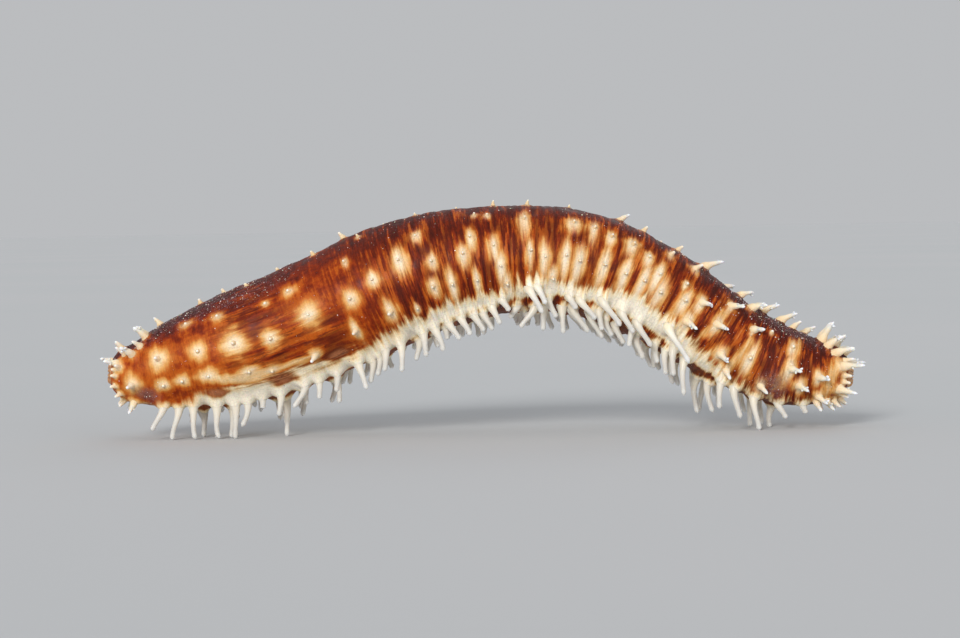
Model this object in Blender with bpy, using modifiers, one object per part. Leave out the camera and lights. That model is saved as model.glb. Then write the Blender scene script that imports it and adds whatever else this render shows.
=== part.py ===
"""A life-size sea cucumber, arched as it stands on the tube feet of its two ends.

The body is a leathery tube 180 mm long. It is divided across into six lengths, and the
vent and the mouth are small turned pieces at its two ends. Each length carries the tube
feet and papillae that grow from it, joined to it as one closed solid.
Units are metres and +Z is up. The body runs along +X from the vent to the mouth, and its
near side, which faces -Y, carries the rows of papillae that are set out below.
"""

import math

import bmesh
import bpy
import numpy as np
from mathutils import Matrix

MM = 0.001

# The body's midline as it arches over the floor, from the vent to the mouth: x and z
MIDLINE = (
    (-85.2 * MM, 15.2 * MM),
    (-78.9 * MM, 15.1 * MM),
    (-69.1 * MM, 17.1 * MM),
    (-54.8 * MM, 20.5 * MM),
    (-40.1 * MM, 25.6 * MM),
    (-26.2 * MM, 31.4 * MM),
    (-14.6 * MM, 35.7 * MM),
    (-2.1 * MM, 38.6 * MM),
    (11.9 * MM, 39.7 * MM),
    (24.7 * MM, 37.8 * MM),
    (36.8 * MM, 32.7 * MM),
    (47.5 * MM, 26.3 * MM),
    (56.3 * MM, 20.1 * MM),
    (71.6 * MM, 13.4 * MM),
    (84.1 * MM, 11.7 * MM),
)
# The midline bows a little sideways: how far, and how many half waves over the length
SWAY = 1.6 * MM
SWAY_HALF_WAVES = 3.0

# Half the body's height at shares of its length
GIRTH = (
    (0.0, 5.1 * MM),
    (0.05, 8.5 * MM),
    (0.11, 11.6 * MM),
    (0.18, 13.7 * MM),
    (0.26, 14.2 * MM),
    (0.35, 14.7 * MM),
    (0.45, 13.8 * MM),
    (0.56, 12.6 * MM),
    (0.68, 12.0 * MM),
    (0.78, 10.8 * MM),
    (0.87, 9.9 * MM),
    (0.95, 8.2 * MM),
    (1.0, 5.3 * MM),
)
END_ROUNDING = 3.6 * MM
END_FACE_SHARE = 0.5
WIDTH_SHARE = 1.03
SOLE_FLATNESS = 0.07
SOLE_SPREAD = 42.0

# The sole turns to the near side over the fore half: the most it turns, in degrees, then
# where that is and how far it reaches, as shares of the length
SOLE_TURN = 17.0
SOLE_TURN_CENTRE = 0.67
SOLE_TURN_REACH = 0.20

# The body's lengths, from the vent to the mouth, and where they part, as shares of its length
LENGTHS = ("vent_end", "hind_body", "hind_middle", "fore_middle", "fore_body", "oral_end")
PARTINGS = (0.15, 0.33, 0.51, 0.68, 0.85)
PARTING_GAP = 0.3 * MM
SIDES = 20
RING_STEP = 4.8 * MM

# Angles go round the body in degrees: 0 on the back, 90 on the near side, 180 on the sole.
# Rows of tube feet on the sole: angle, spacing, and share of the full length
FOOT_ROWS = (
    (124.0, 5.1 * MM, 1.0),
    (146.0, 6.6 * MM, 0.9),
    (170.0, 11.0 * MM, 0.75),
    (190.0, 11.0 * MM, 0.75),
    (214.0, 6.6 * MM, 0.9),
    (236.0, 5.1 * MM, 1.0),
)
FOOT_FIRST = 12.0 * MM
FOOT_LAST = 168.0 * MM
FOOT_JITTER_ALONG = 0.9 * MM
FOOT_JITTER_ROUND = 5.0
FOOT_LENGTH = 7.0 * MM
FOOT_LENGTH_VARIES = 0.18
FOOT_SIDES = 5
FOOT_RADIUS = 0.72 * MM
# How far along a foot each ring is, and how much its webbed root widens it there
FOOT_RINGS = ((0.05, 1.10 * MM), (0.30, 0.42 * MM), (0.62, 0.05 * MM), (1.0, 0.0))
FOOT_ROOT_FLARE = 1.3 * MM
FULL_FLARE_REACH = 7.5 * MM
FOOT_REACH = 10.4 * MM
DISC_RADIUS = 0.9 * MM
DISC_DEPTH = 0.6 * MM
HANGING_CLEARANCE = 1.2 * MM
# A standing foot's tip lies this share of its length outward of its root. A hanging foot
# points this much outward for this much down
STANDING_SPREAD = 0.3
HANGING_OUTWARD = 0.5
HANGING_DOWN = 0.7
# How strongly a foot leaves the skin straight, and ends straight, as shares of its reach
ROOT_STRAIGHTNESS = 0.38
TIP_STRAIGHTNESS = 0.35
HANGING_CURL = 0.6
# Feet lean towards the mouth most where the arch comes down: lean per length, place, reach.
# Elsewhere they lean a little back by the vent and a little forward by the mouth
FOOT_LEAN = 0.75
FOOT_LEAN_AT = 121.0 * MM
FOOT_LEAN_REACH = 24.0 * MM
FOOT_LEAN_VARIES = 0.16
FOOT_LEAN_BY_VENT = -0.12
FOOT_LEAN_BY_MOUTH = 0.18

# Papillae of the near side: angle, then distances from the vent. The far side is alike
PAPILLA_ROWS = (
    (16.0, (24.0, 44.0, 63.0, 80.0, 100.0, 116.0, 126.0, 137.0, 147.0, 156.0, 165.0)),
    (36.0, (10.0, 34.0, 54.0, 72.0, 90.0, 108.0, 121.0, 132.0, 144.0, 153.0, 161.0)),
    (55.0, (20.0, 28.0, 41.0, 47.0, 62.0, 78.0, 100.0, 110.0, 116.0, 124.0, 157.0, 166.0)),
    (80.0, (13.0, 22.0, 30.0, 40.0, 50.0, 61.0, 67.0, 73.0, 80.0, 86.0, 93.0)),
    (80.0, (129.0, 134.0, 142.0, 149.0, 170.0)),
    (104.0, (5.0, 13.0, 23.0, 34.0, 47.0, 59.0, 67.0, 79.0, 93.0, 103.0, 111.0)),
    (104.0, (117.0, 125.0, 132.0, 140.0, 153.0, 162.0)),
)
PAPILLA_JITTER_ALONG = 0.7 * MM
PAPILLA_JITTER_ROUND = 3.0
FAR_JITTER_TIMES = 3.0
PAPILLA_SIDES = 5
# How far along a papilla each ring is, and its radius there, before the pointed tip
PAPILLA_RINGS = ((0.06, 1.35 * MM), (0.5, 0.7 * MM))
STRAIGHT_SIDED_TO = 2.1 * MM
PAPILLA_ROOT_RADIUS = 1.5 * MM
PAPILLA_SHORT = 1.6 * MM
PAPILLA_LONG = 4.9 * MM
PAPILLA_LENGTH_VARIES = 0.25
PAPILLA_LEAN_SHORT = 12.0
PAPILLA_LEAN_LONG = 52.0
# Papillae lengthen over this stretch towards the mouth, and, by this share of it, within
# this much of the vent. Their tips sweep away from straight by this power of the way up
LONGER_FROM = 108.0 * MM
LONGEST_FROM = 150.0 * MM
LONG_BY_VENT = 16.0 * MM
LONG_BY_VENT_SHARE = 0.7
SWEEP_POWER = 1.4
PAPILLA_DEPTH = 1.2 * MM

# Crowns of papillae: distance of the ring from that end, count, length, and lean from the skin
MOUTH_CROWN = ((6.6 * MM, 10, 5.2 * MM, 34.0), (2.4 * MM, 9, 6.0 * MM, 64.0))
VENT_CROWN = ((5.6 * MM, 8, 4.4 * MM, 36.0), (1.6 * MM, 8, 3.4 * MM, 60.0))
CROWN_JITTER_ALONG = 0.5 * MM
CROWN_JITTER_SHARE = 0.2

# How deep a foot's root is sunk, and the room kept between roots and between tips
ROOT_DEPTH = 1.5 * MM
ROOM_BETWEEN_FEET = 3.6 * MM
ROOM_BETWEEN_PAPILLAE = 3.0 * MM
ROOM_IN_CROWN = 2.2 * MM
ROOM_BETWEEN_TIPS = 2.3 * MM
SEED = 11
# Edges and gaps this small, left by a union, are closed up
SLIVER = 0.02 * MM

# The mouth and the vent: height, and the outline of their puckered dome, out and up, as shares
MOUTH_HEIGHT = 1.8 * MM
VENT_HEIGHT = 1.2 * MM
BUTTON_SHARE = 0.94
BUTTON_OUTLINE = (
    (0.0, 0.55),
    (0.16, 0.62),
    (0.36, 0.95),
    (0.60, 1.0),
    (0.86, 0.72),
    (1.0, 0.28),
    (1.0, 0.0),
    (0.0, 0.0),
)
TURNED_STEPS = 20

SKIN_BROWN = (0.36, 0.10, 0.025, 1.0)
LIP_BROWN = (0.25, 0.09, 0.04, 1.0)
SKIN_ROUGHNESS = 0.42
SHARP_FROM = math.radians(50.0)

UP = np.array((0.0, 0.0, 1.0))
FAR = np.array((0.0, 1.0, 0.0))


def unit(vectors):
    """The same directions, each of length one."""
    return vectors / np.linalg.norm(vectors, axis=-1, keepdims=True)


def smooth_curve(knots, values, at):
    """The smoothest curve through values at knots, read at the places at: a natural cubic spline."""
    knots, values = np.asarray(knots), np.asarray(values)
    step = np.diff(knots)
    count = len(knots)
    system = np.eye(count)
    target = np.zeros(count)
    for i in range(1, count - 1):
        system[i, i - 1 : i + 2] = step[i - 1], 2.0 * (step[i - 1] + step[i]), step[i]
        rise = (values[i + 1] - values[i]) / step[i] - (values[i] - values[i - 1]) / step[i - 1]
        target[i] = 6.0 * rise
    bend = np.linalg.solve(system, target)
    cell = np.clip(np.searchsorted(knots, at, side="right") - 1, 0, count - 2)
    right = (at - knots[cell]) / step[cell]
    left = 1.0 - right
    cubic = (left**3 - left) * bend[cell] + (right**3 - right) * bend[cell + 1]
    return left * values[cell] + right * values[cell + 1] + cubic * step[cell] ** 2 / 6.0


def walk(points):
    """The distance walked along a line of points, up to each of them."""
    return np.concatenate(([0.0], np.cumsum(np.linalg.norm(np.diff(points, axis=0), axis=1))))


def midline_samples(count=1201):
    """Equal distances along the midline, its points there, and its direction at each."""
    given = np.array(MIDLINE)
    chords = walk(given)
    at = np.linspace(0.0, chords[-1], count)
    sway = SWAY * np.sin(math.pi * SWAY_HALF_WAVES * at / chords[-1])
    x, z = (smooth_curve(chords, given[:, i], at) for i in range(2))
    points = np.column_stack((x, sway, z))
    walked = walk(points)
    even = np.linspace(0.0, walked[-1], count)
    spaced = np.column_stack([np.interp(even, walked, points[:, i]) for i in range(3)])
    return even, spaced, np.gradient(spaced, even, axis=0)


PLACES, LINE, DIRECTIONS = midline_samples()
BODY_LENGTH = PLACES[-1]


def frame_at(along):
    """The midline's point there, with the directions of the mouth, the back and the far side."""
    centre = np.stack([np.interp(along, PLACES, LINE[:, i]) for i in range(3)], -1)
    forward = unit(np.stack([np.interp(along, PLACES, DIRECTIONS[:, i]) for i in range(3)], -1))
    far = unit(FAR - forward * forward[..., 1:2])
    return centre, forward, np.cross(forward, far), far


def girth_at(along):
    """Half the body's height there, with its two ends rounded off to small flat faces."""
    shares, halves = np.array(GIRTH).T
    inset = np.clip(np.minimum(along, BODY_LENGTH - along) / END_ROUNDING, 0.0, 1.0)
    rounding = END_FACE_SHARE + (1.0 - END_FACE_SHARE) * np.sqrt(1.0 - (1.0 - inset) ** 2)
    return smooth_curve(shares, halves, np.asarray(along) / BODY_LENGTH) * rounding


def outward_at(along, angle):
    """The direction from the midline to the skin at that angle round the body."""
    _, _, back, far = frame_at(along)
    offset = (np.asarray(along) / BODY_LENGTH - SOLE_TURN_CENTRE) / SOLE_TURN_REACH
    turned = np.radians(angle - SOLE_TURN * np.exp(-(offset**2)))[..., None]
    return back * np.cos(turned) - far * np.sin(turned)


def skin_at(along, angle):
    """Points of the skin: a round section, a little wide, with a flatter sole."""
    from_sole = (np.mod(angle, 360.0) - 180.0) / SOLE_SPREAD
    flat = 1.0 - SOLE_FLATNESS * np.exp(-(from_sole**2))
    wide = 1.0 + (WIDTH_SHARE - 1.0) * np.sin(np.radians(angle)) ** 2
    reach = girth_at(along) * flat * wide
    return frame_at(along)[0] + outward_at(along, angle) * reach[..., None]


def foot_line(along, angle, length, lean):
    """A tube foot's centre line and radii: out of the skin, then down to stand or to hang."""
    root, outward = skin_at(along, angle), outward_at(along, angle)
    forward = frame_at(along)[1]
    stands = root[2] < FOOT_REACH
    if stands:
        tip = root + outward * length * STANDING_SPREAD + forward * lean * length
        tip[2] = DISC_DEPTH
    else:
        hang = outward * HANGING_OUTWARD - UP * HANGING_DOWN + forward * lean
        tip = root + unit(hang) * length
        tip[2] = max(tip[2], HANGING_CLEARANCE)
    reach = np.linalg.norm(tip - root)
    out_pull = root + outward * reach * ROOT_STRAIGHTNESS
    at_tip = UP if stands else unit(UP - forward * lean * HANGING_CURL)
    down_pull = tip + at_tip * reach * TIP_STRAIGHTNESS
    flare = min(1.0, reach / FULL_FLARE_REACH)
    points, radii = [root - outward * ROOT_DEPTH], [FOOT_RADIUS + FOOT_ROOT_FLARE * flare]
    for share, wider in FOOT_RINGS:
        rest = 1.0 - share
        points.append(
            root * rest**3
            + out_pull * 3.0 * rest**2 * share
            + down_pull * 3.0 * rest * share**2
            + tip * share**3
        )
        radii.append(FOOT_RADIUS + wider * flare)
    if stands:
        points.append(tip - UP * DISC_DEPTH)
        radii.append(DISC_RADIUS)
    return np.array(points), radii


def papilla_line(along, angle, length, lean):
    """A papilla's centre line and radii: out of the skin, its tip swept towards the nearer end."""
    root, outward = skin_at(along, angle), outward_at(along, angle)
    end = 1.0 if along > BODY_LENGTH / 2.0 else -1.0
    swept = frame_at(along)[1] * end * math.sin(math.radians(lean))
    straight = outward * math.cos(math.radians(lean))
    size = min(1.0, math.sqrt(length / PAPILLA_SHORT))
    points, radii = [root - outward * PAPILLA_DEPTH], [PAPILLA_ROOT_RADIUS * size]
    for share, radius in PAPILLA_RINGS[: 1 if length < STRAIGHT_SIDED_TO else 2]:
        points.append(root + (straight * share + swept * share**SWEEP_POWER) * length)
        radii.append(radius * size)
    points.append(root + (straight + swept) * length)
    return np.array(points), radii


def off_partings(along, margin):
    """The same distance, moved off any parting that is nearer than the margin."""
    for share in PARTINGS:
        parting = share * BODY_LENGTH
        if abs(along - parting) < margin:
            return parting + math.copysign(margin, along - parting)
    return along


def has_room(point, others, clearance):
    """Whether a point is farther than the clearance from all those already placed."""
    return all(np.linalg.norm(point - other) > clearance for other in others)


def foot_lean(along):
    """How far a foot leans towards the mouth there, for each part of its length."""
    most = FOOT_LEAN * math.exp(-(((along - FOOT_LEAN_AT) / FOOT_LEAN_REACH) ** 2))
    towards_mouth = (along / BODY_LENGTH) ** 3
    return most + FOOT_LEAN_BY_VENT + (FOOT_LEAN_BY_MOUTH - FOOT_LEAN_BY_VENT) * towards_mouth


def lay_out_feet(draw, roots, tips):
    """Every tube foot as distance, angle, length and lean, in rows with a seeded jitter."""
    feet = []
    margin = FOOT_RADIUS + FOOT_ROOT_FLARE + PARTING_GAP
    for row, (angle, spacing, share) in enumerate(FOOT_ROWS):
        for place in np.arange(FOOT_FIRST + spacing * (row % 2) / 2.0, FOOT_LAST, spacing):
            shift, twist, growth, bend = draw.uniform(-1.0, 1.0, 4)
            along = off_partings(place + shift * FOOT_JITTER_ALONG, margin)
            length = FOOT_LENGTH * share * (1.0 + FOOT_LENGTH_VARIES * growth)
            lean = foot_lean(along) + bend * FOOT_LEAN_VARIES
            foot = (along, angle + twist * FOOT_JITTER_ROUND, length, lean)
            root, tip = skin_at(*foot[:2]), foot_line(*foot)[0][-1]
            if has_room(root, roots, ROOM_BETWEEN_FEET) and has_room(tip, tips, ROOM_BETWEEN_TIPS):
                roots.append(root)
                tips.append(tip)
                feet.append(foot)
    return feet


def lay_out_crowns(draw, roots, tips):
    """The rings of papillae about the mouth and the vent, as distance, angle, length and lean."""
    crown = []
    for rings, by_mouth in ((MOUTH_CROWN, True), (VENT_CROWN, False)):
        for ring, (inset, count, length, lean) in enumerate(rings):
            for i in range(count):
                shift, twist, growth = draw.uniform(-1.0, 1.0, 3)
                inset_here = inset + shift * CROWN_JITTER_ALONG
                along = BODY_LENGTH - inset_here if by_mouth else inset_here
                angle = 360.0 * (i + 0.5 * ring + CROWN_JITTER_SHARE * twist) / count
                papilla = (along, angle, length * (1.0 + PAPILLA_LENGTH_VARIES * growth), lean)
                root, tip = skin_at(along, angle), papilla_line(*papilla)[0][-1]
                if has_room(root, roots, ROOM_IN_CROWN) and has_room(tip, tips, ROOM_BETWEEN_TIPS):
                    roots.append(root)
                    tips.append(tip)
                    crown.append(papilla)
    return crown


def lay_out_papillae(draw, roots, tips):
    """Every papilla of the back and flanks, as distance, angle, length and lean."""
    papillae = []
    margin = PAPILLA_ROOT_RADIUS + PARTING_GAP
    for side, loose in ((1.0, 1.0), (-1.0, FAR_JITTER_TIMES)):
        for row_angle, distances in PAPILLA_ROWS:
            for distance in distances:
                shift, twist, growth = draw.uniform(-1.0, 1.0, 3)
                along = off_partings(distance * MM + shift * loose * PAPILLA_JITTER_ALONG, margin)
                angle = side * row_angle + twist * loose * PAPILLA_JITTER_ROUND
                fore = np.interp(along, (LONGER_FROM, LONGEST_FROM), (0.0, 1.0))
                hind = np.interp(along, (0.0, LONG_BY_VENT), (LONG_BY_VENT_SHARE, 0.0))
                longer = max(fore, hind)
                length = PAPILLA_SHORT + (PAPILLA_LONG - PAPILLA_SHORT) * longer
                length *= 1.0 + PAPILLA_LENGTH_VARIES * growth
                lean = PAPILLA_LEAN_SHORT + (PAPILLA_LEAN_LONG - PAPILLA_LEAN_SHORT) * longer
                papilla = (along, angle, length, lean)
                root, tip = skin_at(along, angle), papilla_line(*papilla)[0][-1]
                if has_room(root, roots, ROOM_BETWEEN_PAPILLAE) and has_room(tip, tips, ROOM_BETWEEN_TIPS):
                    roots.append(root)
                    tips.append(tip)
                    papillae.append(papilla)
    return papillae


def material(name, colour):
    """A matt, slightly wet skin of one colour."""
    skin = bpy.data.materials.new(name)
    skin.use_nodes = True
    shader = skin.node_tree.nodes["Principled BSDF"]
    shader.inputs["Base Color"].default_value = colour
    shader.inputs["Roughness"].default_value = SKIN_ROUGHNESS
    shader.inputs["Metallic"].default_value = 0.0
    return skin


def ring_places(start, end):
    """Distances of the sections of one length, closer together where an end is rounded off."""
    places = np.linspace(start, end, 1 + math.ceil((end - start) / RING_STEP))
    rounding = END_ROUNDING * (1.0 - np.cos(np.linspace(0.0, math.pi / 2.0, 4)))
    if start <= 0.0:
        places = np.concatenate((rounding, places[places > END_ROUNDING * 1.3]))
    if end >= BODY_LENGTH:
        places = np.concatenate((places[places < end - END_ROUNDING * 1.3], end - rounding[::-1]))
    return places


def lofted(name, rings, pointed_tip=None):
    """A mesh object through rings of points, closed by flat faces, or by a point at its far end."""
    count, sides = len(rings), len(rings[0])
    points = np.concatenate(rings).tolist()
    faces = [list(range(sides))[::-1]]
    for i in range(count - 1):
        low, high = i * sides, (i + 1) * sides
        for j in range(sides):
            k = (j + 1) % sides
            faces.append([low + j, low + k, high + k, high + j])
    last = (count - 1) * sides
    if pointed_tip is None:
        faces.append(list(range(last, last + sides)))
    else:
        points.append(pointed_tip.tolist())
        faces += [[last + j, last + (j + 1) % sides, len(points) - 1] for j in range(sides)]
    mesh = bpy.data.meshes.new(name)
    mesh.from_pydata(points, [], faces)
    shape = bmesh.new()
    shape.from_mesh(mesh)
    bmesh.ops.recalc_face_normals(shape, faces=shape.faces)
    shape.to_mesh(mesh)
    shape.free()
    return bpy.data.objects.new(name, mesh)


def stalk(name, line, radii, sides):
    """A tapering stalk along a line: closed flat where every point has a radius, else to a tip."""
    steps = unit(np.diff(line, axis=0))
    along = unit(np.concatenate((steps[:1], steps[:-1] + steps[1:], steps[-1:])))
    across = unit(np.cross(along[0], FAR + UP * 0.3))
    turn = 2.0 * math.pi * np.arange(sides)[:, None] / sides
    rings = []
    for point, direction, radius in zip(line, along, radii):
        across = unit(across - direction * np.dot(across, direction))
        beside = np.cross(direction, across)
        rings.append(point + (across * np.cos(turn) + beside * np.sin(turn)) * radius)
    return lofted(name, rings, line[-1] if len(radii) < len(line) else None)


def body_length(name, start, end):
    """One length of the body: a loft through unlike sections, closed by a flat face at each end."""
    angles = 360.0 * np.arange(SIDES) / SIDES
    return lofted(name, [skin_at(np.full(SIDES, at), angles) for at in ring_places(start, end)])


def turned_button(name, end_place, outward_sign, height):
    """The mouth or the vent: a low puckered dome, turned about the body's own line."""
    radius = float(girth_at(end_place)) * BUTTON_SHARE
    mesh = bpy.data.meshes.new(name)
    outline = [(radius * out, 0.0, height * up) for out, up in BUTTON_OUTLINE]
    mesh.from_pydata(outline, [(i, i + 1) for i in range(len(outline) - 1)], [])
    button = bpy.data.objects.new(name, mesh)
    screw = button.modifiers.new("turn", "SCREW")
    screw.axis = "Z"
    screw.angle = 2.0 * math.pi
    screw.steps = TURNED_STEPS
    screw.render_steps = TURNED_STEPS
    screw.use_smooth_shade = True
    screw.use_merge_vertices = True
    screw.merge_threshold = 0.01 * MM
    centre, forward, back, _ = frame_at(end_place)
    outward = forward * outward_sign
    place = np.eye(4)
    place[:3, 0], place[:3, 1], place[:3, 2] = back, np.cross(outward, back), outward
    place[:3, 3] = centre + outward * PARTING_GAP
    button.matrix_world = Matrix(place.tolist())
    return button


def keep_largest_surface(mesh):
    """Drops the scraps and sealed hollows that a union leaves, keeping the biggest closed surface."""
    shape = bmesh.new()
    shape.from_mesh(mesh)
    surface_of = {}
    surfaces = []
    for vertex in shape.verts:
        if vertex in surface_of:
            continue
        found = [vertex]
        surface_of[vertex] = len(surfaces)
        for member in found:
            for edge in member.link_edges:
                other = edge.other_vert(member)
                if other not in surface_of:
                    surface_of[other] = len(surfaces)
                    found.append(other)
        surfaces.append(found)
    largest = max(range(len(surfaces)), key=lambda i: len(surfaces[i]))
    scraps = [vertex for vertex in shape.verts if surface_of[vertex] != largest]
    bmesh.ops.delete(shape, geom=scraps, context="VERTS")
    bmesh.ops.triangulate(shape, faces=shape.faces)
    bmesh.ops.remove_doubles(shape, verts=shape.verts, dist=SLIVER)
    bmesh.ops.dissolve_degenerate(shape, edges=shape.edges, dist=SLIVER / 2.0)
    bmesh.ops.triangulate(shape, faces=shape.faces)
    shape.to_mesh(mesh)
    shape.free()


def shade_round(mesh):
    """Shades a mesh smooth, but for edges sharper than the limit."""
    mesh.shade_smooth()
    mesh.set_sharp_from_angle(angle=SHARP_FROM)


def join_to(base, stalks, parts):
    """Fuses the stalks into the base with one Boolean union, and applies it."""
    growths = bpy.data.collections.new(base.name + "_growths")
    bpy.context.scene.collection.children.link(growths)
    for shape in stalks:
        growths.objects.link(shape)
    parts.objects.link(base)
    union = base.modifiers.new("growths", "BOOLEAN")
    union.operation = "UNION"
    union.operand_type = "COLLECTION"
    union.collection = growths
    union.solver = "MANIFOLD"
    bpy.context.view_layer.update()
    graph = bpy.context.evaluated_depsgraph_get()
    joined = bpy.data.meshes.new_from_object(base.evaluated_get(graph))
    base.modifiers.remove(union)
    keep_largest_surface(joined)
    shade_round(joined)
    base.data = joined
    for shape in list(growths.objects):
        bpy.data.objects.remove(shape)
    bpy.data.collections.remove(growths)


def main():
    for old in list(bpy.data.objects):
        bpy.data.objects.remove(old)
    parts = bpy.data.collections.new("sea_cucumber")
    bpy.context.scene.collection.children.link(parts)
    skin = material("skin", SKIN_BROWN)
    lips = material("lips", LIP_BROWN)

    draw = np.random.default_rng(SEED)
    roots, tips = [], []
    feet = lay_out_feet(draw, roots, tips)
    papillae = lay_out_crowns(draw, roots, tips) + lay_out_papillae(draw, roots, tips)

    edges = [0.0] + [share * BODY_LENGTH for share in PARTINGS] + [BODY_LENGTH]
    for name, low, high in zip(LENGTHS, edges, edges[1:]):
        start = low + (PARTING_GAP / 2.0 if low > 0.0 else 0.0)
        end = high - (PARTING_GAP / 2.0 if high < BODY_LENGTH else 0.0)
        base = body_length(name, start, end)
        stalks = [stalk("foot", *foot_line(*foot), FOOT_SIDES) for foot in feet if low <= foot[0] < high]
        stalks += [
            stalk("papilla", *papilla_line(*papilla), PAPILLA_SIDES)
            for papilla in papillae
            if low <= papilla[0] < high
        ]
        join_to(base, stalks, parts)
        base.data.materials.clear()
        base.data.materials.append(skin)

    for button in (
        turned_button("vent", 0.0, -1.0, VENT_HEIGHT),
        turned_button("mouth", BODY_LENGTH, 1.0, MOUTH_HEIGHT),
    ):
        parts.objects.link(button)
        button.data.materials.append(lips)


main()
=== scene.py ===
import math

import bpy
import numpy as np
from mathutils import Matrix


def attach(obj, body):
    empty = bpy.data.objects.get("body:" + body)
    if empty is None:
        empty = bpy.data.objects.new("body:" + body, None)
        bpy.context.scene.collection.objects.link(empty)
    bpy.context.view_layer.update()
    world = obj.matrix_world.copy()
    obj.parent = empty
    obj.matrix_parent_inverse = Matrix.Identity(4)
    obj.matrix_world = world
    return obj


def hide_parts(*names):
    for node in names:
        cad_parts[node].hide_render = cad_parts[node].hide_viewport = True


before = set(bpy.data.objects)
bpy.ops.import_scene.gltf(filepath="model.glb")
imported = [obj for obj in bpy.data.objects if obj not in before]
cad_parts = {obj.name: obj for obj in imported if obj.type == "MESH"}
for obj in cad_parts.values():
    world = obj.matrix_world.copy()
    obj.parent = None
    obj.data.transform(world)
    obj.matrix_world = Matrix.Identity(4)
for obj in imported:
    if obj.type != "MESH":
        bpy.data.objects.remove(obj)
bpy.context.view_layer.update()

MM = 0.001
UP = np.array((0.0, 0.0, 1.0))
FAR = np.array((0.0, 1.0, 0.0))


# The camera
# A long lens stands level with the animal and a touch above it, as far off as frames it as in
# the photo. It rolls one degree, because the photo's floor line does.
LENS = 100.0
SENSOR = 36.0
CAMERA_DISTANCE = 613.3 * MM
CAMERA_ELEVATION = math.radians(2.0)
CAMERA_ROLL = math.radians(0.993)
FRAME_CENTRE = np.array((-0.23 * MM, 0.0, 26.28 * MM))

sight = np.array((0.0, math.cos(CAMERA_ELEVATION), -math.sin(CAMERA_ELEVATION)))
level = np.array((1.0, 0.0, 0.0))
upright = np.cross(level, sight)
photo_right = math.cos(CAMERA_ROLL) * level - math.sin(CAMERA_ROLL) * upright
photo_up = math.sin(CAMERA_ROLL) * level + math.cos(CAMERA_ROLL) * upright
camera_place = np.eye(4)
camera_place[:3, 0] = photo_right
camera_place[:3, 1] = photo_up
camera_place[:3, 2] = -sight
camera_place[:3, 3] = FRAME_CENTRE - sight * CAMERA_DISTANCE
camera = bpy.data.objects.new("camera", bpy.data.cameras.new("camera"))
camera.data.lens = LENS
camera.data.sensor_width = SENSOR
camera.matrix_world = Matrix(camera_place.tolist())
bpy.context.scene.collection.objects.link(camera)
bpy.context.scene.camera = camera


# The line that the body follows
# A sea cucumber has no bones. Its body is a muscular tube of water, arched here as it stands on
# the feet of its two ends, and every piece is laid out along this line, from vent to mouth.
MIDLINE = np.array((
    (-85.2, 15.2), (-78.9, 15.1), (-69.1, 17.1), (-54.8, 20.5), (-40.1, 25.6),
    (-26.2, 31.4), (-14.6, 35.7), (-2.1, 38.6), (11.9, 39.7), (24.7, 37.8),
    (36.8, 32.7), (47.5, 26.3), (56.3, 20.1), (71.6, 13.4), (84.1, 11.7),
)) * MM
SWAY = 1.6 * MM
SWAY_HALF_WAVES = 3.0


def unit(vectors):
    """The same directions, each of length one."""
    return vectors / np.linalg.norm(vectors, axis=-1, keepdims=True)


def smooth_curve(knots, values, at):
    """The smoothest curve through values at knots, read at the places at: a natural cubic spline."""
    knots, values = np.asarray(knots), np.asarray(values)
    step = np.diff(knots)
    count = len(knots)
    system = np.eye(count)
    target = np.zeros(count)
    for i in range(1, count - 1):
        system[i, i - 1 : i + 2] = step[i - 1], 2.0 * (step[i - 1] + step[i]), step[i]
        rise = (values[i + 1] - values[i]) / step[i] - (values[i] - values[i - 1]) / step[i - 1]
        target[i] = 6.0 * rise
    bend = np.linalg.solve(system, target)
    cell = np.clip(np.searchsorted(knots, at, side="right") - 1, 0, count - 2)
    right = (at - knots[cell]) / step[cell]
    left = 1.0 - right
    cubic = (left**3 - left) * bend[cell] + (right**3 - right) * bend[cell + 1]
    return left * values[cell] + right * values[cell + 1] + cubic * step[cell] ** 2 / 6.0


def walk(points):
    """The distance walked along a line of points, up to each of them."""
    return np.concatenate(([0.0], np.cumsum(np.linalg.norm(np.diff(points, axis=0), axis=1))))


def midline_samples(count=1201):
    """Equal distances along the midline, its points there, and its direction at each."""
    chords = walk(MIDLINE)
    at = np.linspace(0.0, chords[-1], count)
    sway = SWAY * np.sin(math.pi * SWAY_HALF_WAVES * at / chords[-1])
    x, z = (smooth_curve(chords, MIDLINE[:, i], at) for i in range(2))
    points = np.column_stack((x, sway, z))
    walked = walk(points)
    even = np.linspace(0.0, walked[-1], count)
    spaced = np.column_stack([np.interp(even, walked, points[:, i]) for i in range(3)])
    return even, spaced, np.gradient(spaced, even, axis=0)


PLACES, LINE, DIRECTIONS = midline_samples()
BODY_LENGTH = PLACES[-1]


def frame_at(along):
    """The midline's point there, with the directions of the mouth, the back and the far side."""
    centre = np.stack([np.interp(along, PLACES, LINE[:, i]) for i in range(3)], -1)
    forward = unit(np.stack([np.interp(along, PLACES, DIRECTIONS[:, i]) for i in range(3)], -1))
    far = unit(FAR - forward * forward[..., 1:2])
    return centre, forward, np.cross(forward, far), far


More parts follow.
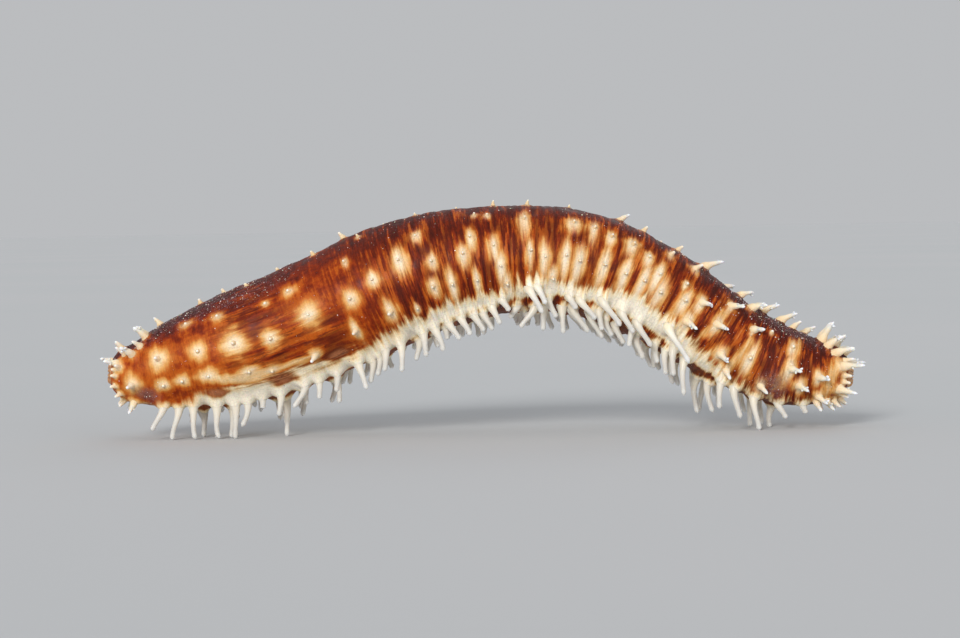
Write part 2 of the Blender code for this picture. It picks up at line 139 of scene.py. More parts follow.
# The body wall's form
# A leathery wall about 2 mm thick holds the tube round. It is thickest behind the middle, has
# a slightly flat sole that turns to the near side over the fore half, and rounds off at its ends.
# Angles go round the body in degrees: 0 on the back, 90 on the near side, 180 on the sole.
GIRTH_SHARES = np.array((0.0, 0.05, 0.11, 0.18, 0.26, 0.35, 0.45, 0.56, 0.68, 0.78, 0.87, 0.95, 1.0))
GIRTH = np.array((5.1, 8.5, 11.6, 13.7, 14.2, 14.7, 13.8, 12.6, 12.0, 10.8, 9.9, 8.2, 5.3)) * MM
END_ROUNDING = 3.6 * MM
END_FACE_SHARE = 0.5
WIDTH_SHARE = 1.03
SOLE_FLATNESS = 0.07
SOLE_SPREAD = 42.0
SOLE_TURN = 17.0
SOLE_TURN_CENTRE = 0.67
SOLE_TURN_REACH = 0.20


def girth_at(along):
    """Half the body's height there, with its two ends rounded off to small faces."""
    inset = np.clip(np.minimum(along, BODY_LENGTH - along) / END_ROUNDING, 0.0, 1.0)
    rounding = END_FACE_SHARE + (1.0 - END_FACE_SHARE) * np.sqrt(1.0 - (1.0 - inset) ** 2)
    return smooth_curve(GIRTH_SHARES, GIRTH, np.asarray(along) / BODY_LENGTH) * rounding


def outward_at(along, angle):
    """The direction from the midline to the skin at that angle round the body."""
    _, _, back, far = frame_at(along)
    offset = (np.asarray(along) / BODY_LENGTH - SOLE_TURN_CENTRE) / SOLE_TURN_REACH
    turned = np.radians(angle - SOLE_TURN * np.exp(-(offset**2)))[..., None]
    return back * np.cos(turned) - far * np.sin(turned)


def skin_at(along, angle):
    """Points of the skin: a round section, a little wide, with a flatter sole."""
    from_sole = (np.mod(angle, 360.0) - 180.0) / SOLE_SPREAD
    flat = 1.0 - SOLE_FLATNESS * np.exp(-(from_sole**2))
    wide = 1.0 + (WIDTH_SHARE - 1.0) * np.sin(np.radians(angle)) ** 2
    reach = girth_at(along) * flat * wide
    return frame_at(along)[0] + outward_at(along, angle) * reach[..., None]


# Tube feet
# Soft water-filled tubes of the body wall, about a millimetre thick, that end in a small
# sucker. Each grows from a broad pale web, and they are joined here into one mesh. Those long
# enough stand on the floor, and the others hang, leaning to the mouth where the arch comes down.
# Near side: mm from the vent, degrees round, length in mm, lean to the mouth and curl to it
NEAR_FEET = np.array((
    (10.5, 147, 7.0, -0.55, 0.0), (13.5, 150, 6.9, -0.36, 0.1), (16.7, 149, 7.6, -0.12, 0.9),
    (22.3, 152, 8.0, -0.16, 1.2), (26.4, 154, 7.2, -0.06, 0.0), (29.2, 153, 5.8, -0.05, -1.3),
    (32.4, 152, 2.8, 0.0, 0.0), (36.4, 152, 5.6, -0.16, 0.0), (42.2, 149, 5.4, -0.35, -1.5),
    (41.2, 159, 4.4, 0.1, 0.0), (45.2, 152, 4.9, -0.05, 0.0), (49.6, 152, 4.9, -0.12, 0.0),
    (55.0, 147, 7.2, 0.2, 0.2), (58.2, 157, 5.8, -0.22, 0.0), (60.4, 153, 5.2, -0.22, 0.0),
    (62.2, 146, 5.4, -0.1, 0.0), (66.2, 146, 7.2, -0.03, 0.0), (70.6, 158, 5.2, -0.22, -0.2),
    (72.3, 147, 6.1, 0.03, 0.2), (75.5, 148, 6.2, 0.36, -0.5), (78.0, 157, 3.2, 0.1, 0.0),
    (79.2, 148, 5.2, 0.46, 0.2), (82.5, 147, 5.2, 0.42, 0.0), (85.7, 149, 5.0, 0.44, 0.2),
    (88.0, 152, 5.0, 0.42, 0.1), (87.0, 160, 4.6, 0.2, 0.0), (90.4, 146, 4.8, 0.38, 0.0),
    (93.0, 139, 3.4, 0.5, 0.0), (96.8, 155, 3.4, -0.55, -0.2), (101.5, 158, 6.4, -0.6, -0.2),
    (99.7, 131, 6.6, 0.42, 0.1), (101.6, 129, 4.8, 0.38, 0.0), (104.6, 148, 4.8, 0.42, 0.1),
    (104.0, 161, 6.0, -0.05, 0.0), (109.0, 162, 6.4, 0.06, 0.0), (110.0, 142, 3.4, 0.55, 0.0),
    (112.0, 158, 6.8, 0.62, 0.3), (113.0, 143, 5.8, 0.85, 0.1), (117.0, 160, 6.6, 0.55, 0.4),
    (119.0, 152, 4.8, 0.2, 0.0), (121.5, 162, 4.6, 0.5, 0.1), (118.6, 136, 7.0, 0.85, 0.2),
    (129.0, 156, 4.8, -0.15, 0.0), (124.5, 163, 5.4, 0.6, 0.1), (130.5, 164, 6.2, 0.4, 0.3),
    (128.8, 143, 6.6, 0.8, 0.2), (136.0, 162, 5.0, 0.2, 0.1), (139.3, 160, 6.4, 0.1, 0.0),
    (140.6, 149, 6.8, 0.08, 0.0), (144.4, 152, 9.0, 0.06, 0.1), (136.2, 128, 9.4, 0.9, 0.1),
    (124.2, 140, 5.6, 0.7, 0.2), (153.6, 150, 7.0, 0.0, 0.0), (156.4, 149, 7.8, 0.3, 0.1),
    (160.8, 150, 8.2, 0.2, 0.3), (165.6, 151, 4.6, 0.6, 0.1), (170.6, 152, 2.6, 0.35, 0.0),
))
# Rows under and behind: angle, spacing in mm, and share of the full length under the arch
HIDDEN_FOOT_ROWS = (
    (170.0, 13.0, 0.4),
    (191.0, 13.0, 0.4),
    (211.0, 8.0, 0.5),
    (225.0, 5.5, 0.7),
    (238.0, 6.5, 0.85),
)
ARCH = (40.0, 62.0, 132.0, 148.0)
FOOT_FIRST = 13.0
FOOT_LAST = 166.0
FOOT_LENGTH = 7.4
FOOT_LENGTH_VARIES = 0.2
FOOT_RADIUS = 0.47 * MM
FOOT_TIP_SWELL = 0.08 * MM
FOOT_SHORT = 3.0 * MM
FOOT_LONG = 8.0 * MM
FOOT_WEB = (0.75 * MM, 1.15 * MM)
FOOT_WEB_REACH = (1.2 * MM, 2.3 * MM)
FOOT_STANDS_BELOW = 1.9 * MM
FOOT_LEAN = 0.6
FOOT_LEAN_AT = 115.0 * MM
FOOT_LEAN_REACH = 22.0 * MM
FOOT_CURL = 1.1 * MM
# How far the rows' feet are moved, in spacings, turned, in degrees, and leaned, by chance
FOOT_SHIFT = 0.25
FOOT_TWIST = 6.0
FOOT_LEAN_VARIES = 0.2
# A hanging foot's direction: shares of outward and of down, and its pulls as shares of its reach
FOOT_SPREAD = 0.35
FOOT_HANG = 0.75
FOOT_ROOT_PULL = 0.4
FOOT_TIP_PULL = 0.35
FOOT_TIP_TILT = 0.6
FOOT_SWELLS = (0.72, 0.92)
FOOT_ROUNDS_OFF = (0.93, 0.075)
# Feet this near the middle of the sole get a painted shade, in degrees
FOOT_SHADE = (30.0, 55.0)
FOOT_RINGS = 16
FOOT_SIDES = 12
FEET_SEED = 5


def lay_out_feet():
    """Every foot's distance from the vent, angle, length, lean and curl.

    The near ones are listed one by one. Those under and behind follow rows, with seeded changes.
    They are shorter under the arch, and lean by a bell curve, highest where the arch comes down.
    """
    draw = np.random.default_rng(FEET_SEED)
    every = [NEAR_FEET.T]
    for angle, spacing, share in HIDDEN_FOOT_ROWS:
        along = np.arange(FOOT_FIRST + draw.uniform(0.0, spacing), FOOT_LAST, spacing)
        shift, twist, growth, bend, curl = draw.uniform(-1.0, 1.0, (5, len(along)))
        lean = FOOT_LEAN * np.exp(-(((along * MM - FOOT_LEAN_AT) / FOOT_LEAN_REACH) ** 2))
        arched = np.interp(along, ARCH, (0.0, 1.0, 1.0, 0.0))
        length = FOOT_LENGTH * (1.0 + (share - 1.0) * arched) * (1.0 + FOOT_LENGTH_VARIES * growth)
        along = along + FOOT_SHIFT * spacing * shift
        around = angle + FOOT_TWIST * twist
        every.append(np.stack((along, around, length, lean + FOOT_LEAN_VARIES * bend, curl)))
    along, angle, length, lean, curl = np.concatenate(every, axis=1)
    return along * MM, angle, length * MM, lean, curl


def foot_paths(along, angle, length, lean, curl, rings):
    """Centre lines of the feet: a curve that leaves the skin straight out, then hangs or stands.

    It is a cubic with four pulls: the root, a point outward of it, a point above the tip and
    the tip. The curl moves it along the body by the cube of the way down. A tip that would
    nearly reach the floor stands on it.
    """
    root, outward = skin_at(along, angle), outward_at(along, angle)
    forward = frame_at(along)[1]
    leaning = forward * lean[:, None]
    tip = root + unit(outward * FOOT_SPREAD - UP * FOOT_HANG + leaning) * length[:, None]
    stands = (tip[:, 2] < FOOT_STANDS_BELOW)[:, None]
    tip[:, 2] = np.where(stands[:, 0], 0.0, tip[:, 2])
    reach = np.linalg.norm(tip - root, axis=1)[:, None]
    above = tip + np.where(stands, UP, unit(UP - leaning * FOOT_TIP_TILT)) * reach * FOOT_TIP_PULL
    beyond = root + outward * reach * FOOT_ROOT_PULL
    share = np.linspace(0.0, 1.0, rings)[None, :, None]
    rest = 1.0 - share
    line = root[:, None] * rest**3 + beyond[:, None] * 3.0 * rest**2 * share
    line = line + above[:, None] * 3.0 * rest * share**2 + tip[:, None] * share**3
    line = line + forward[:, None] * (curl * FOOT_CURL)[:, None, None] * share**3
    line[..., 2] = np.maximum(line[..., 2], 0.0)
    return line, reach[:, 0], forward


def tube_faces(tubes, rings, sides):
    """Faces of closed tubes, each of rings by sides points and then its two poles.

    Returns the quads, the triangles that close each end, and how far along and round each of
    their corners is, as shares.
    """
    i, j = np.meshgrid(np.arange(rings - 1), np.arange(sides), indexing="ij")
    i, j = i.ravel(), j.ravel()
    ring = np.stack((i, i, i + 1, i + 1), 1)
    side = np.stack((j, j + 1, j + 1, j), 1)
    quads = ring * sides + side % sides
    quad_map = np.stack((ring / (rings - 1), side / sides), -1)
    j = np.arange(sides)
    last = (rings - 1) * sides
    root_pole, tip_pole = rings * sides, rings * sides + 1
    root_fan = np.stack(((j + 1) % sides, j, np.full(sides, root_pole)), 1)
    tip_fan = np.stack((last + j, last + (j + 1) % sides, np.full(sides, tip_pole)), 1)
    low, middle, high = j / sides, (j + 0.5) / sides, (j + 1) / sides
    root_map = np.stack((np.zeros((sides, 3)), np.stack((high, low, middle), 1)), -1)
    tip_map = np.stack((np.ones((sides, 3)), np.stack((low, high, middle), 1)), -1)
    step = (rings * sides + 2) * np.arange(tubes)[:, None, None]
    fans = np.concatenate((root_fan, tip_fan))
    fan_map = np.concatenate((root_map, tip_map))
    return (
        (quads[None] + step).reshape(-1, 4),
        (fans[None] + step).reshape(-1, 3),
        np.broadcast_to(quad_map, (tubes,) + quad_map.shape),
        np.broadcast_to(fan_map, (tubes,) + fan_map.shape),
    )


def new_piece(name, points, quads, fans, quad_map, fan_map, shares):
    """A smooth mesh object from whole arrays, with its map for baking and its named shares."""
    mesh = bpy.data.meshes.new(name)
    corners = np.concatenate((quads.ravel(), fans.ravel())).astype(np.int32)
    sizes = np.concatenate((np.full(len(quads), 4), np.full(len(fans), 3)))
    starts = np.concatenate(([0], np.cumsum(sizes)[:-1])).astype(np.int32)
    mesh.vertices.add(len(points))
    mesh.vertices.foreach_set("co", np.ascontiguousarray(points, np.float32).ravel())
    mesh.loops.add(len(corners))
    mesh.loops.foreach_set("vertex_index", corners)
    mesh.polygons.add(len(sizes))
    mesh.polygons.foreach_set("loop_start", starts)
    mesh.update(calc_edges=True)
    bake = mesh.uv_layers.new(name="OFBake")
    places = np.concatenate((quad_map.reshape(-1, 2), fan_map.reshape(-1, 2)))
    bake.data.foreach_set("uv", places.astype(np.float32).ravel())
    for share_name, values in shares.items():
        kind = "FLOAT_VECTOR" if values.ndim == 2 else "FLOAT"
        key = "vector" if values.ndim == 2 else "value"
        attribute = mesh.attributes.new(share_name, kind, "POINT")
        attribute.data.foreach_set(key, np.ascontiguousarray(values, np.float32).ravel())
    mesh.shade_smooth()
    piece = bpy.data.objects.new(name, mesh)
    bpy.context.scene.collection.objects.link(piece)
    return piece


# The side of each stalk's patch of the bake map, as a share of the whole map's
PATCH = 0.003


def square_to(tangents, across):
    """The across directions, turned square to the tangents."""
    return unit(across - tangents * (across * tangents).sum(-1, keepdims=True))


def rounded_off(share, start, over):
    """One up to start, and then down to nothing by a quarter circle."""
    return np.sqrt(1.0 - np.clip((share - start) / over, 0.0, 1.0) ** 2)


def growth_piece(name, paths, radii, across, roots, sides, shares):
    """Many stalks in one mesh: circles of the given radii round points of the paths.

    Each circle stands square to its path and starts from the across direction. The shares are
    one value for each point of each path, given to its whole circle. Each stalk's patch of the
    bake map lies at its root on the unwrapped skin.
    """
    steps = np.diff(paths, axis=1)
    tangents = unit(np.concatenate((steps[:, :1], steps[:, :-1] + steps[:, 1:], steps[:, -1:]), 1))
    across = square_to(tangents, across[:, None])
    beside = np.cross(tangents, across)
    turn = 2.0 * math.pi * np.arange(sides) / sides
    turn = turn[None, None, :, None]
    circles = paths[:, :, None] + (
        across[:, :, None] * np.cos(turn) + beside[:, :, None] * np.sin(turn)
    ) * radii[:, :, None, None]
    tubes, rings = radii.shape
    poles = np.stack((paths[:, 0], paths[:, -1] + tangents[:, -1] * radii[:, -1:] * 0.5), 1)
    points = np.concatenate((circles.reshape(tubes, rings * sides, 3), poles), 1)
    points[..., 2] = np.maximum(points[..., 2], 0.0)
    quads, fans, quad_map, fan_map = tube_faces(tubes, rings, sides)
    place = np.stack((roots[0] / BODY_LENGTH, np.mod(roots[1] / 360.0 + 0.5, 1.0)), -1)
    place = place * (1.0 - PATCH)
    quad_map = place[:, None, None] + quad_map * PATCH
    fan_map = place[:, None, None] + fan_map * PATCH
    spread = {}
    for share_name, values in shares.items():
        values = np.broadcast_to(values, radii.shape)
        ringed = np.repeat(values, sides, axis=1)
        spread[share_name] = np.concatenate((ringed, values[:, :1], values[:, -1:]), 1).ravel()
    return new_piece(name, points.reshape(-1, 3), quads, fans, quad_map, fan_map, spread)


feet = lay_out_feet()
feet_lines, feet_reach, feet_forward = foot_paths(*feet, FOOT_RINGS)
down = np.linspace(0.0, 1.0, FOOT_RINGS)[None, :]
feet_web, feet_web_reach = (
    np.interp(feet_reach, (FOOT_SHORT, FOOT_LONG), sizes)[:, None]
    for sizes in (FOOT_WEB, FOOT_WEB_REACH)
)
feet_radii = FOOT_RADIUS + feet_web * np.exp(-down * feet_reach[:, None] / feet_web_reach)
feet_radii = feet_radii + FOOT_TIP_SWELL * np.interp(down, FOOT_SWELLS, (0.0, 1.0))
feet_radii = feet_radii * rounded_off(down, *FOOT_ROUNDS_OFF)
feet_tone = np.random.default_rng(FEET_SEED + 1).uniform(0.0, 1.0, (len(feet[0]), 1))
feet_painted_shade = np.interp(np.abs(feet[1] - 180.0), FOOT_SHADE, (1.0, 0.0))[:, None]
tube_feet = growth_piece(
    "tube_feet", feet_lines, feet_radii, feet_forward, feet[:2], FOOT_SIDES,
    {"reach": down, "tone": feet_tone, "painted_shade": feet_painted_shade},
)


def srgb(red, green, blue):
    """A colour given as on a screen, from 0 to 255, as the linear light that a shader takes."""
    shown = np.array((red, green, blue)) / 255.0
    linear = np.where(shown <= 0.04045, shown / 12.92, ((shown + 0.055) / 1.055) ** 2.4)
    return (*linear.tolist(), 1.0)


def add_node(tree, kind, settings, sockets):
    """A node with its settings, and its sockets set to values or joined to other sockets."""
    node = tree.nodes.new(kind)
    for key, value in settings.items():
        setattr(node, key, value)
    for key, value in sockets.items():
        if isinstance(value, bpy.types.NodeSocket):
            tree.links.new(value, node.inputs[key])
        else:
            node.inputs[key].default_value = value
    return node


def share_of(tree, name, output="Fac"):
    """A named share of the mesh."""
    return add_node(tree, "ShaderNodeAttribute", {"attribute_name": name}, {}).outputs[output]


def place_of(tree):
    """Where a point of the surface is on its object."""
    return add_node(tree, "ShaderNodeTexCoord", {}, {}).outputs["Object"]


def math_of(operation, first, *others):
    """The result of one operation on values, in the tree that the first of them is in."""
    values = dict(enumerate((first, *others)))
    return add_node(first.id_data, "ShaderNodeMath", {"operation": operation}, values).outputs[0]


def plus(first, second):
    """The sum of two values."""
    return math_of("ADD", first, second)


def times(first, second):
    """The product of two values."""
    return math_of("MULTIPLY", first, second)


def larger(first, second):
    """The larger of two values."""
    return math_of("MAXIMUM", first, second)


def centred(noise, by):
    """A noise moved to have its middle at nought, times a number."""
    return times(math_of("SUBTRACT", noise, 0.5), by)


def ramp_of(share, stops):
    """A colour that runs through the stops, each a place from 0 to 1 and a screen colour."""
    node = add_node(share.id_data, "ShaderNodeValToRGB", {}, {"Fac": share})
    elements = node.color_ramp.elements
    while len(elements) < len(stops):
        elements.new(0.5)
    for element, (place, *colour) in zip(elements, stops):
        element.position = place
        element.color = srgb(*colour)
    return node.outputs["Color"]


def mix_of(share, first, second, blend="MIX"):
    """The first colour, a socket, with the second laid over it by the share."""
    settings = {"data_type": "RGBA", "blend_type": blend}
    sockets = {0: share, 6: first, 7: second}
    return add_node(first.id_data, "ShaderNodeMix", settings, sockets).outputs[2]


def noise_of(vector, scale, detail=3.0, roughness=0.55):
    """Smooth noise from 0 to 1 at that many cells a metre."""
    sockets = {"Vector": vector, "Scale": scale, "Detail": detail, "Roughness": roughness}
    return add_node(vector.id_data, "ShaderNodeTexNoise", {}, sockets).outputs["Fac"]


def map_of(share, low, high, to_low=0.0, to_high=1.0):
    """The share stretched so that low to high becomes to_low to to_high, and held there."""
    sockets = {0: share, 1: low, 2: high, 3: to_low, 4: to_high}
    return add_node(share.id_data, "ShaderNodeMapRange", {"clamp": True}, sockets).outputs[0]


def new_material(name, settings):
    """A material with its own tree, its Principled BSDF, and that shader's fixed settings."""
    material = bpy.data.materials.new(name)
    material.use_nodes = True
    shader = material.node_tree.nodes["Principled BSDF"]
    for key, value in settings.items():
        shader.inputs[key].default_value = value
    return material, material.node_tree, shader


def dress(shader, colour, height, depth, strength):
    """Gives a shader its colour, and dents its surface by a height of that depth in metres."""
    tree = shader.id_data
    tree.links.new(colour, shader.inputs["Base Color"])
    sockets = {"Height": height, "Distance": depth, "Strength": strength}
    bump = add_node(tree, "ShaderNodeBump", {}, sockets)
    tree.links.new(bump.outputs["Normal"], shader.inputs["Normal"])


def foot_material():
    """Milky, watery flesh: cream at the web, then pale grey and half clear, white at the tip, and greyed
    by painted shade under the sole.
    """
    material, tree, shader = new_material("foot_flesh", {
        "Subsurface Weight": 0.7,
        "Subsurface Radius": (1.0, 0.9, 0.8),
        "Subsurface Scale": 1.0 * MM,
        "Transmission Weight": 0.08,
        "IOR": 1.36,
        "Sheen Weight": 0.9,
        "Sheen Roughness": 0.28,
        "Roughness": 0.36,
        "Coat Weight": 0.1,
        "Coat Roughness": 0.2,
    })
    reach, tone = share_of(tree, "reach"), share_of(tree, "tone")
    place = place_of(tree)
    colour = ramp_of(plus(reach, centred(noise_of(place, 900.0), 0.25)), (
        (0.0, 250, 234, 202), (0.25, 249, 240, 220), (0.5, 240, 235, 225),
        (0.8, 226, 224, 219), (1.0, 250, 250, 248),
    ))
    colour = mix_of(times(tone, 0.3), colour, srgb(206, 202, 194))
    # Feet near the middle of the sole are painted greyer: a painted shade
    colour = mix_of(times(share_of(tree, "painted_shade"), 0.35), colour, srgb(196, 190, 180))
    dress(shader, colour, noise_of(place, 2600.0), 0.05 * MM, 0.5)
    return material


tube_feet.data.materials.append(foot_material())
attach(tube_feet, "root")


# Papillae
# Soft pointed warts of the back and flanks, each in the middle of a pale ring. They are low
# over most of the body and grow long towards the mouth, where they sweep forward.
# Near side: mm from the vent, degrees round, the pale ring's radius along and round the body in
# mm, and the papilla's length in mm
NEAR_PAPILLAE = np.array((
    (2, 72, 1.3, 1.6, 2.0), (5, 107, 2.2, 2.9, 2.6), (12, 74, 3.0, 3.1, 1.9),
    (11.5, 111, 2.0, 1.8, 0.6), (16, 109, 2.1, 1.6, 0.6), (20, 43, 2.2, 1.6, 0.5),
    (21.5, 80, 2.4, 2.5, 0.8), (22.5, 108, 3.0, 2.0, 0.5), (28, 50, 2.6, 2.0, 0.6),
    (30.5, 82, 3.5, 3.4, 0.9), (32, 112, 3.0, 1.3, 0.5), (39.5, 89, 2.5, 2.6, 0.8),
    (41, 56, 1.4, 1.2, 0.5), (37, 118, 3.2, 1.6, 0.6), (47.5, 54, 2.3, 1.9, 0.9),
    (50, 82, 3.1, 3.1, 0.5), (47.5, 119, 1.7, 2.2, 2.6), (62, 51, 1.1, 2.0, 0.8),
    (60.5, 85, 2.0, 2.5, 1.2), (66.5, 78, 1.7, 2.1, 0.7), (58.5, 112, 1.3, 3.0, 1.8),
    (73, 71, 1.8, 3.4, 1.0), (67.5, 110, 1.6, 3.0, 1.6), (73.5, 118, 0.9, 1.6, 0.4),
    (77.5, 53, 1.7, 2.0, 0.7), (79.5, 82, 1.4, 2.0, 0.9), (78.5, 104, 1.5, 2.4, 1.2),
    (82.5, 108, 1.4, 3.6, 0.8), (86, 83, 1.5, 2.4, 0.8), (88, 68, 0.9, 2.4, 0.5),
    (89.5, 41, 1.1, 1.3, 0.8), (92, 45, 1.2, 1.4, 0.7), (88, 111, 0.9, 3.2, 0.8),
    (92.5, 82, 1.3, 2.8, 0.6), (93.5, 103, 1.4, 3.0, 0.7), (94.5, 122, 1.3, 3.0, 1.0),
    (99, 55, 1.6, 3.4, 0.9), (100, 92, 1.0, 2.8, 1.0), (103, 99, 1.4, 3.6, 0.6),
    (105, 121, 1.4, 3.2, 1.3), (107.5, 97, 1.4, 3.8, 0.9), (108.5, 58, 2.0, 2.1, 0.8),
    (110.5, 101, 1.7, 4.2, 0.8), (112.5, 60, 1.3, 3.0, 0.7), (116, 99, 1.5, 4.0, 0.9),
    (116, 65, 1.2, 1.8, 0.8), (121, 100, 1.5, 4.2, 0.9), (120.5, 65, 1.8, 2.3, 1.0),
    (124.5, 72, 1.5, 1.8, 1.0), (125.5, 98, 1.6, 4.4, 1.0), (130, 100, 2.0, 3.6, 1.0),
    (128, 84, 1.6, 3.2, 1.1), (129, 50, 1.4, 2.4, 1.4), (134.5, 76, 0.9, 1.0, 1.3),
    (135, 46, 1.7, 2.2, 2.4), (136, 92, 1.6, 2.6, 1.2), (139.5, 82, 1.7, 2.0, 3.4),
    (139, 110, 1.9, 2.6, 3.6), (145.5, 90, 1.8, 2.4, 3.6), (146, 58, 1.5, 2.2, 3.6),
    (150, 116, 1.9, 2.2, 3.6), (153, 131, 1.3, 1.6, 3.2), (154, 66, 1.2, 1.5, 3.4),
    (156.5, 100, 1.6, 4.2, 0.8), (151, 33, 1.6, 2.0, 4.2), (159, 54, 0.9, 0.9, 0.8),
    (161, 129, 1.3, 2.2, 3.2), (165.5, 62, 1.5, 2.6, 0.9), (166, 92, 1.7, 3.0, 3.8),
    (169, 113, 1.7, 2.0, 3.4), (173, 96, 1.4, 1.8, 3.6), (173.5, 132, 1.3, 1.8, 3.4),
))
# Those of the back, on both sides of its middle, in the same measures
BACK_PAPILLAE = np.array((
    (10, 20, 1.6, 1.5, 3.6), (14, -14, 1.4, 1.4, 2.6), (24, 6, 1.2, 1.2, 1.2),
    (30, -12, 1.4, 1.3, 1.5), (37, 18, 1.3, 1.2, 0.8), (45, -8, 1.4, 1.2, 0.9),
    (55, 12, 1.4, 1.3, 1.0), (62.5, 2, 1.3, 1.3, 2.0), (66, 22, 1.1, 1.2, 0.8),
    (71, -16, 1.3, 1.3, 1.0), (78, 10, 1.2, 1.4, 0.8), (86, -8, 1.3, 1.3, 0.9),
    (93.5, 12, 1.3, 1.5, 1.2), (100, 16, 1.4, 2.0, 1.2), (103, -14, 1.2, 1.4, 0.9),
    (108, 8, 1.2, 1.3, 1.0), (117.5, 9, 1.5, 1.9, 3.2), (122.5, 18, 1.3, 1.5, 1.6),
    (127, -10, 1.3, 1.4, 1.9), (130.5, 20, 1.4, 1.7, 1.8), (137, 14, 1.8, 2.2, 5.2),
    (143, -12, 1.4, 1.6, 3.6), (147, 12, 1.5, 1.8, 3.6), (152, -8, 1.4, 1.6, 3.6),
    (154.5, 12, 1.6, 1.8, 4.6), (160.5, 4, 1.6, 1.8, 4.6), (164.5, 12, 1.2, 1.4, 2.6),
    (168, -14, 1.4, 1.6, 3.6),
))
FAR_SHIFT = 3.0
FAR_TWIST = 6.0
# The crowns of the two ends, near side, in the same measures and with the lean to that end
CROWN_PAPILLAE = np.array((
    (10, 28, 1.6, 1.5, 4.2, 35), (8, 42, 1.2, 1.3, 2.9, 40), (5.6, 53, 1.6, 1.6, 4.5, 40),
    (3.6, 44, 1.2, 1.3, 3.3, 48), (1.8, 62, 1.2, 1.4, 3.7, 72), (1.2, 92, 0.8, 0.9, 1.3, 70),
    (1.1, 76, 0.8, 0.9, 1.1, 75), (1.3, 120, 0.8, 0.9, 1.5, 68), (5.2, 150, 1.4, 1.5, 3.7, 25),
    (2.4, 137, 1.0, 1.2, 1.8, 50), (2.6, 16, 1.2, 1.3, 2.6, 45), (3.2, 168, 1.1, 1.2, 2.2, 40),
    (173, 14, 1.7, 1.8, 5.4, 26), (174.6, 27, 1.3, 1.4, 4.4, 48), (176.3, 42, 1.5, 1.6, 5.0, 64),
    (178, 68, 1.4, 1.5, 5.7, 72), (178.6, 50, 1.0, 1.1, 2.7, 66), (178.9, 88, 0.9, 1.0, 2.0, 70),
    (178.8, 104, 0.9, 1.0, 1.9, 66), (177.7, 119, 1.4, 1.5, 4.8, 70),
    (178.4, 136, 1.0, 1.1, 2.4, 58), (175.3, 149, 1.3, 1.4, 3.4, 42),
    (173.2, 146, 1.2, 1.3, 3.2, 30), (177, 161, 1.1, 1.2, 2.5, 50), (178.5, 20, 1.1, 1.2, 3.0, 62),
    (178.4, 174, 1.0, 1.1, 2.4, 56), (176.2, 3, 1.3, 1.4, 3.8, 44),
))
PAPILLA_RINGS = 12
PAPILLA_SIDES = 10
PAPILLA_SEED = 8
# Slimmer short ones over the middle of the body: mm from the vent, and share of their width
SHORT_PAPILLA = 1.35 * MM
SLIM = ((50, 66, 128, 138), (1.0, 0.72, 0.72, 1.0))
# Lengths in mm that count as short, middling and long, and from which one leans, with how much
PAPILLA_LENGTHS = (0.4, 1.2, 5.0)
PAPILLA_LEANS = ((0.8, 3.8), (10.0, 48.0))
PAPILLA_SINK = 0.5 * MM
PAPILLA_POINT = 1.8
PAPILLA_LUMPS = 0.09
KNOB_BEARERS = 3.3 * MM
KNOB_LENGTH = 0.95 * MM
KNOB_RADIUS = 0.34 * MM


def mirrored(rows, draw):
    """The same papillae on the far side, each moved and sized a little by chance."""
    far = rows.copy()
    far[:, 0] += draw.uniform(-FAR_SHIFT, FAR_SHIFT, len(far)) * np.clip(far[:, 4] < 2.0, 0.3, 1.0)
    far[:, 1] = -far[:, 1] + draw.uniform(-FAR_TWIST, FAR_TWIST, len(far))
    far[:, 2:5] *= draw.uniform(0.85, 1.15, (len(far), 3))
    return far


def lay_out_papillae():
    """Every papilla: distance, angle, the ring's two radii, length and lean, in metres and degrees."""
    draw = np.random.default_rng(PAPILLA_SEED)
    flanks = np.concatenate((NEAR_PAPILLAE, BACK_PAPILLAE, mirrored(NEAR_PAPILLAE, draw)))
    lean = np.interp(flanks[:, 4], *PAPILLA_LEANS)
    flanks = np.column_stack((flanks, lean + draw.uniform(-6.0, 6.0, len(flanks))))
    every = np.concatenate((flanks, CROWN_PAPILLAE, mirrored(CROWN_PAPILLAE, draw)))
    every[:, 0] = np.clip(every[:, 0], 0.8, BODY_LENGTH / MM - 0.8)
    every[:, [0, 2, 3, 4]] *= MM
    return every.T


def papilla_paths(along, angle, length, lean, rings):
    """Centre lines of the papillae: out of the skin, the tip swept towards the nearer end."""
    root, outward = skin_at(along, angle), outward_at(along, angle)
    forward = frame_at(along)[1]
    end = np.where(along > BODY_LENGTH * 0.45, 1.0, -1.0)
    swept = forward * (end * np.sin(np.radians(lean)))[:, None]
    straight = outward * np.cos(np.radians(lean))[:, None]
    share = np.linspace(0.0, 1.0, rings)[None, :, None]
    rise_out = straight[:, None] * share + swept[:, None] * share**1.25
    sink = outward[:, None] * PAPILLA_SINK * (1.0 - share) ** 4
    return root[:, None] + rise_out * length[:, None, None] - sink, np.cross(forward, outward)


papillae = lay_out_papillae()
papilla_along, papilla_angle, ring_along, ring_round, papilla_length, papilla_lean = papillae
papilla_lines, papilla_across = papilla_paths(
    papilla_along, papilla_angle, papilla_length, papilla_lean, PAPILLA_RINGS
)


def by_length(*sizes):
    """Each papilla's size, from the sizes in mm of a short, a middling and a long one."""
    return np.interp(papilla_length / MM, PAPILLA_LENGTHS, sizes) * MM


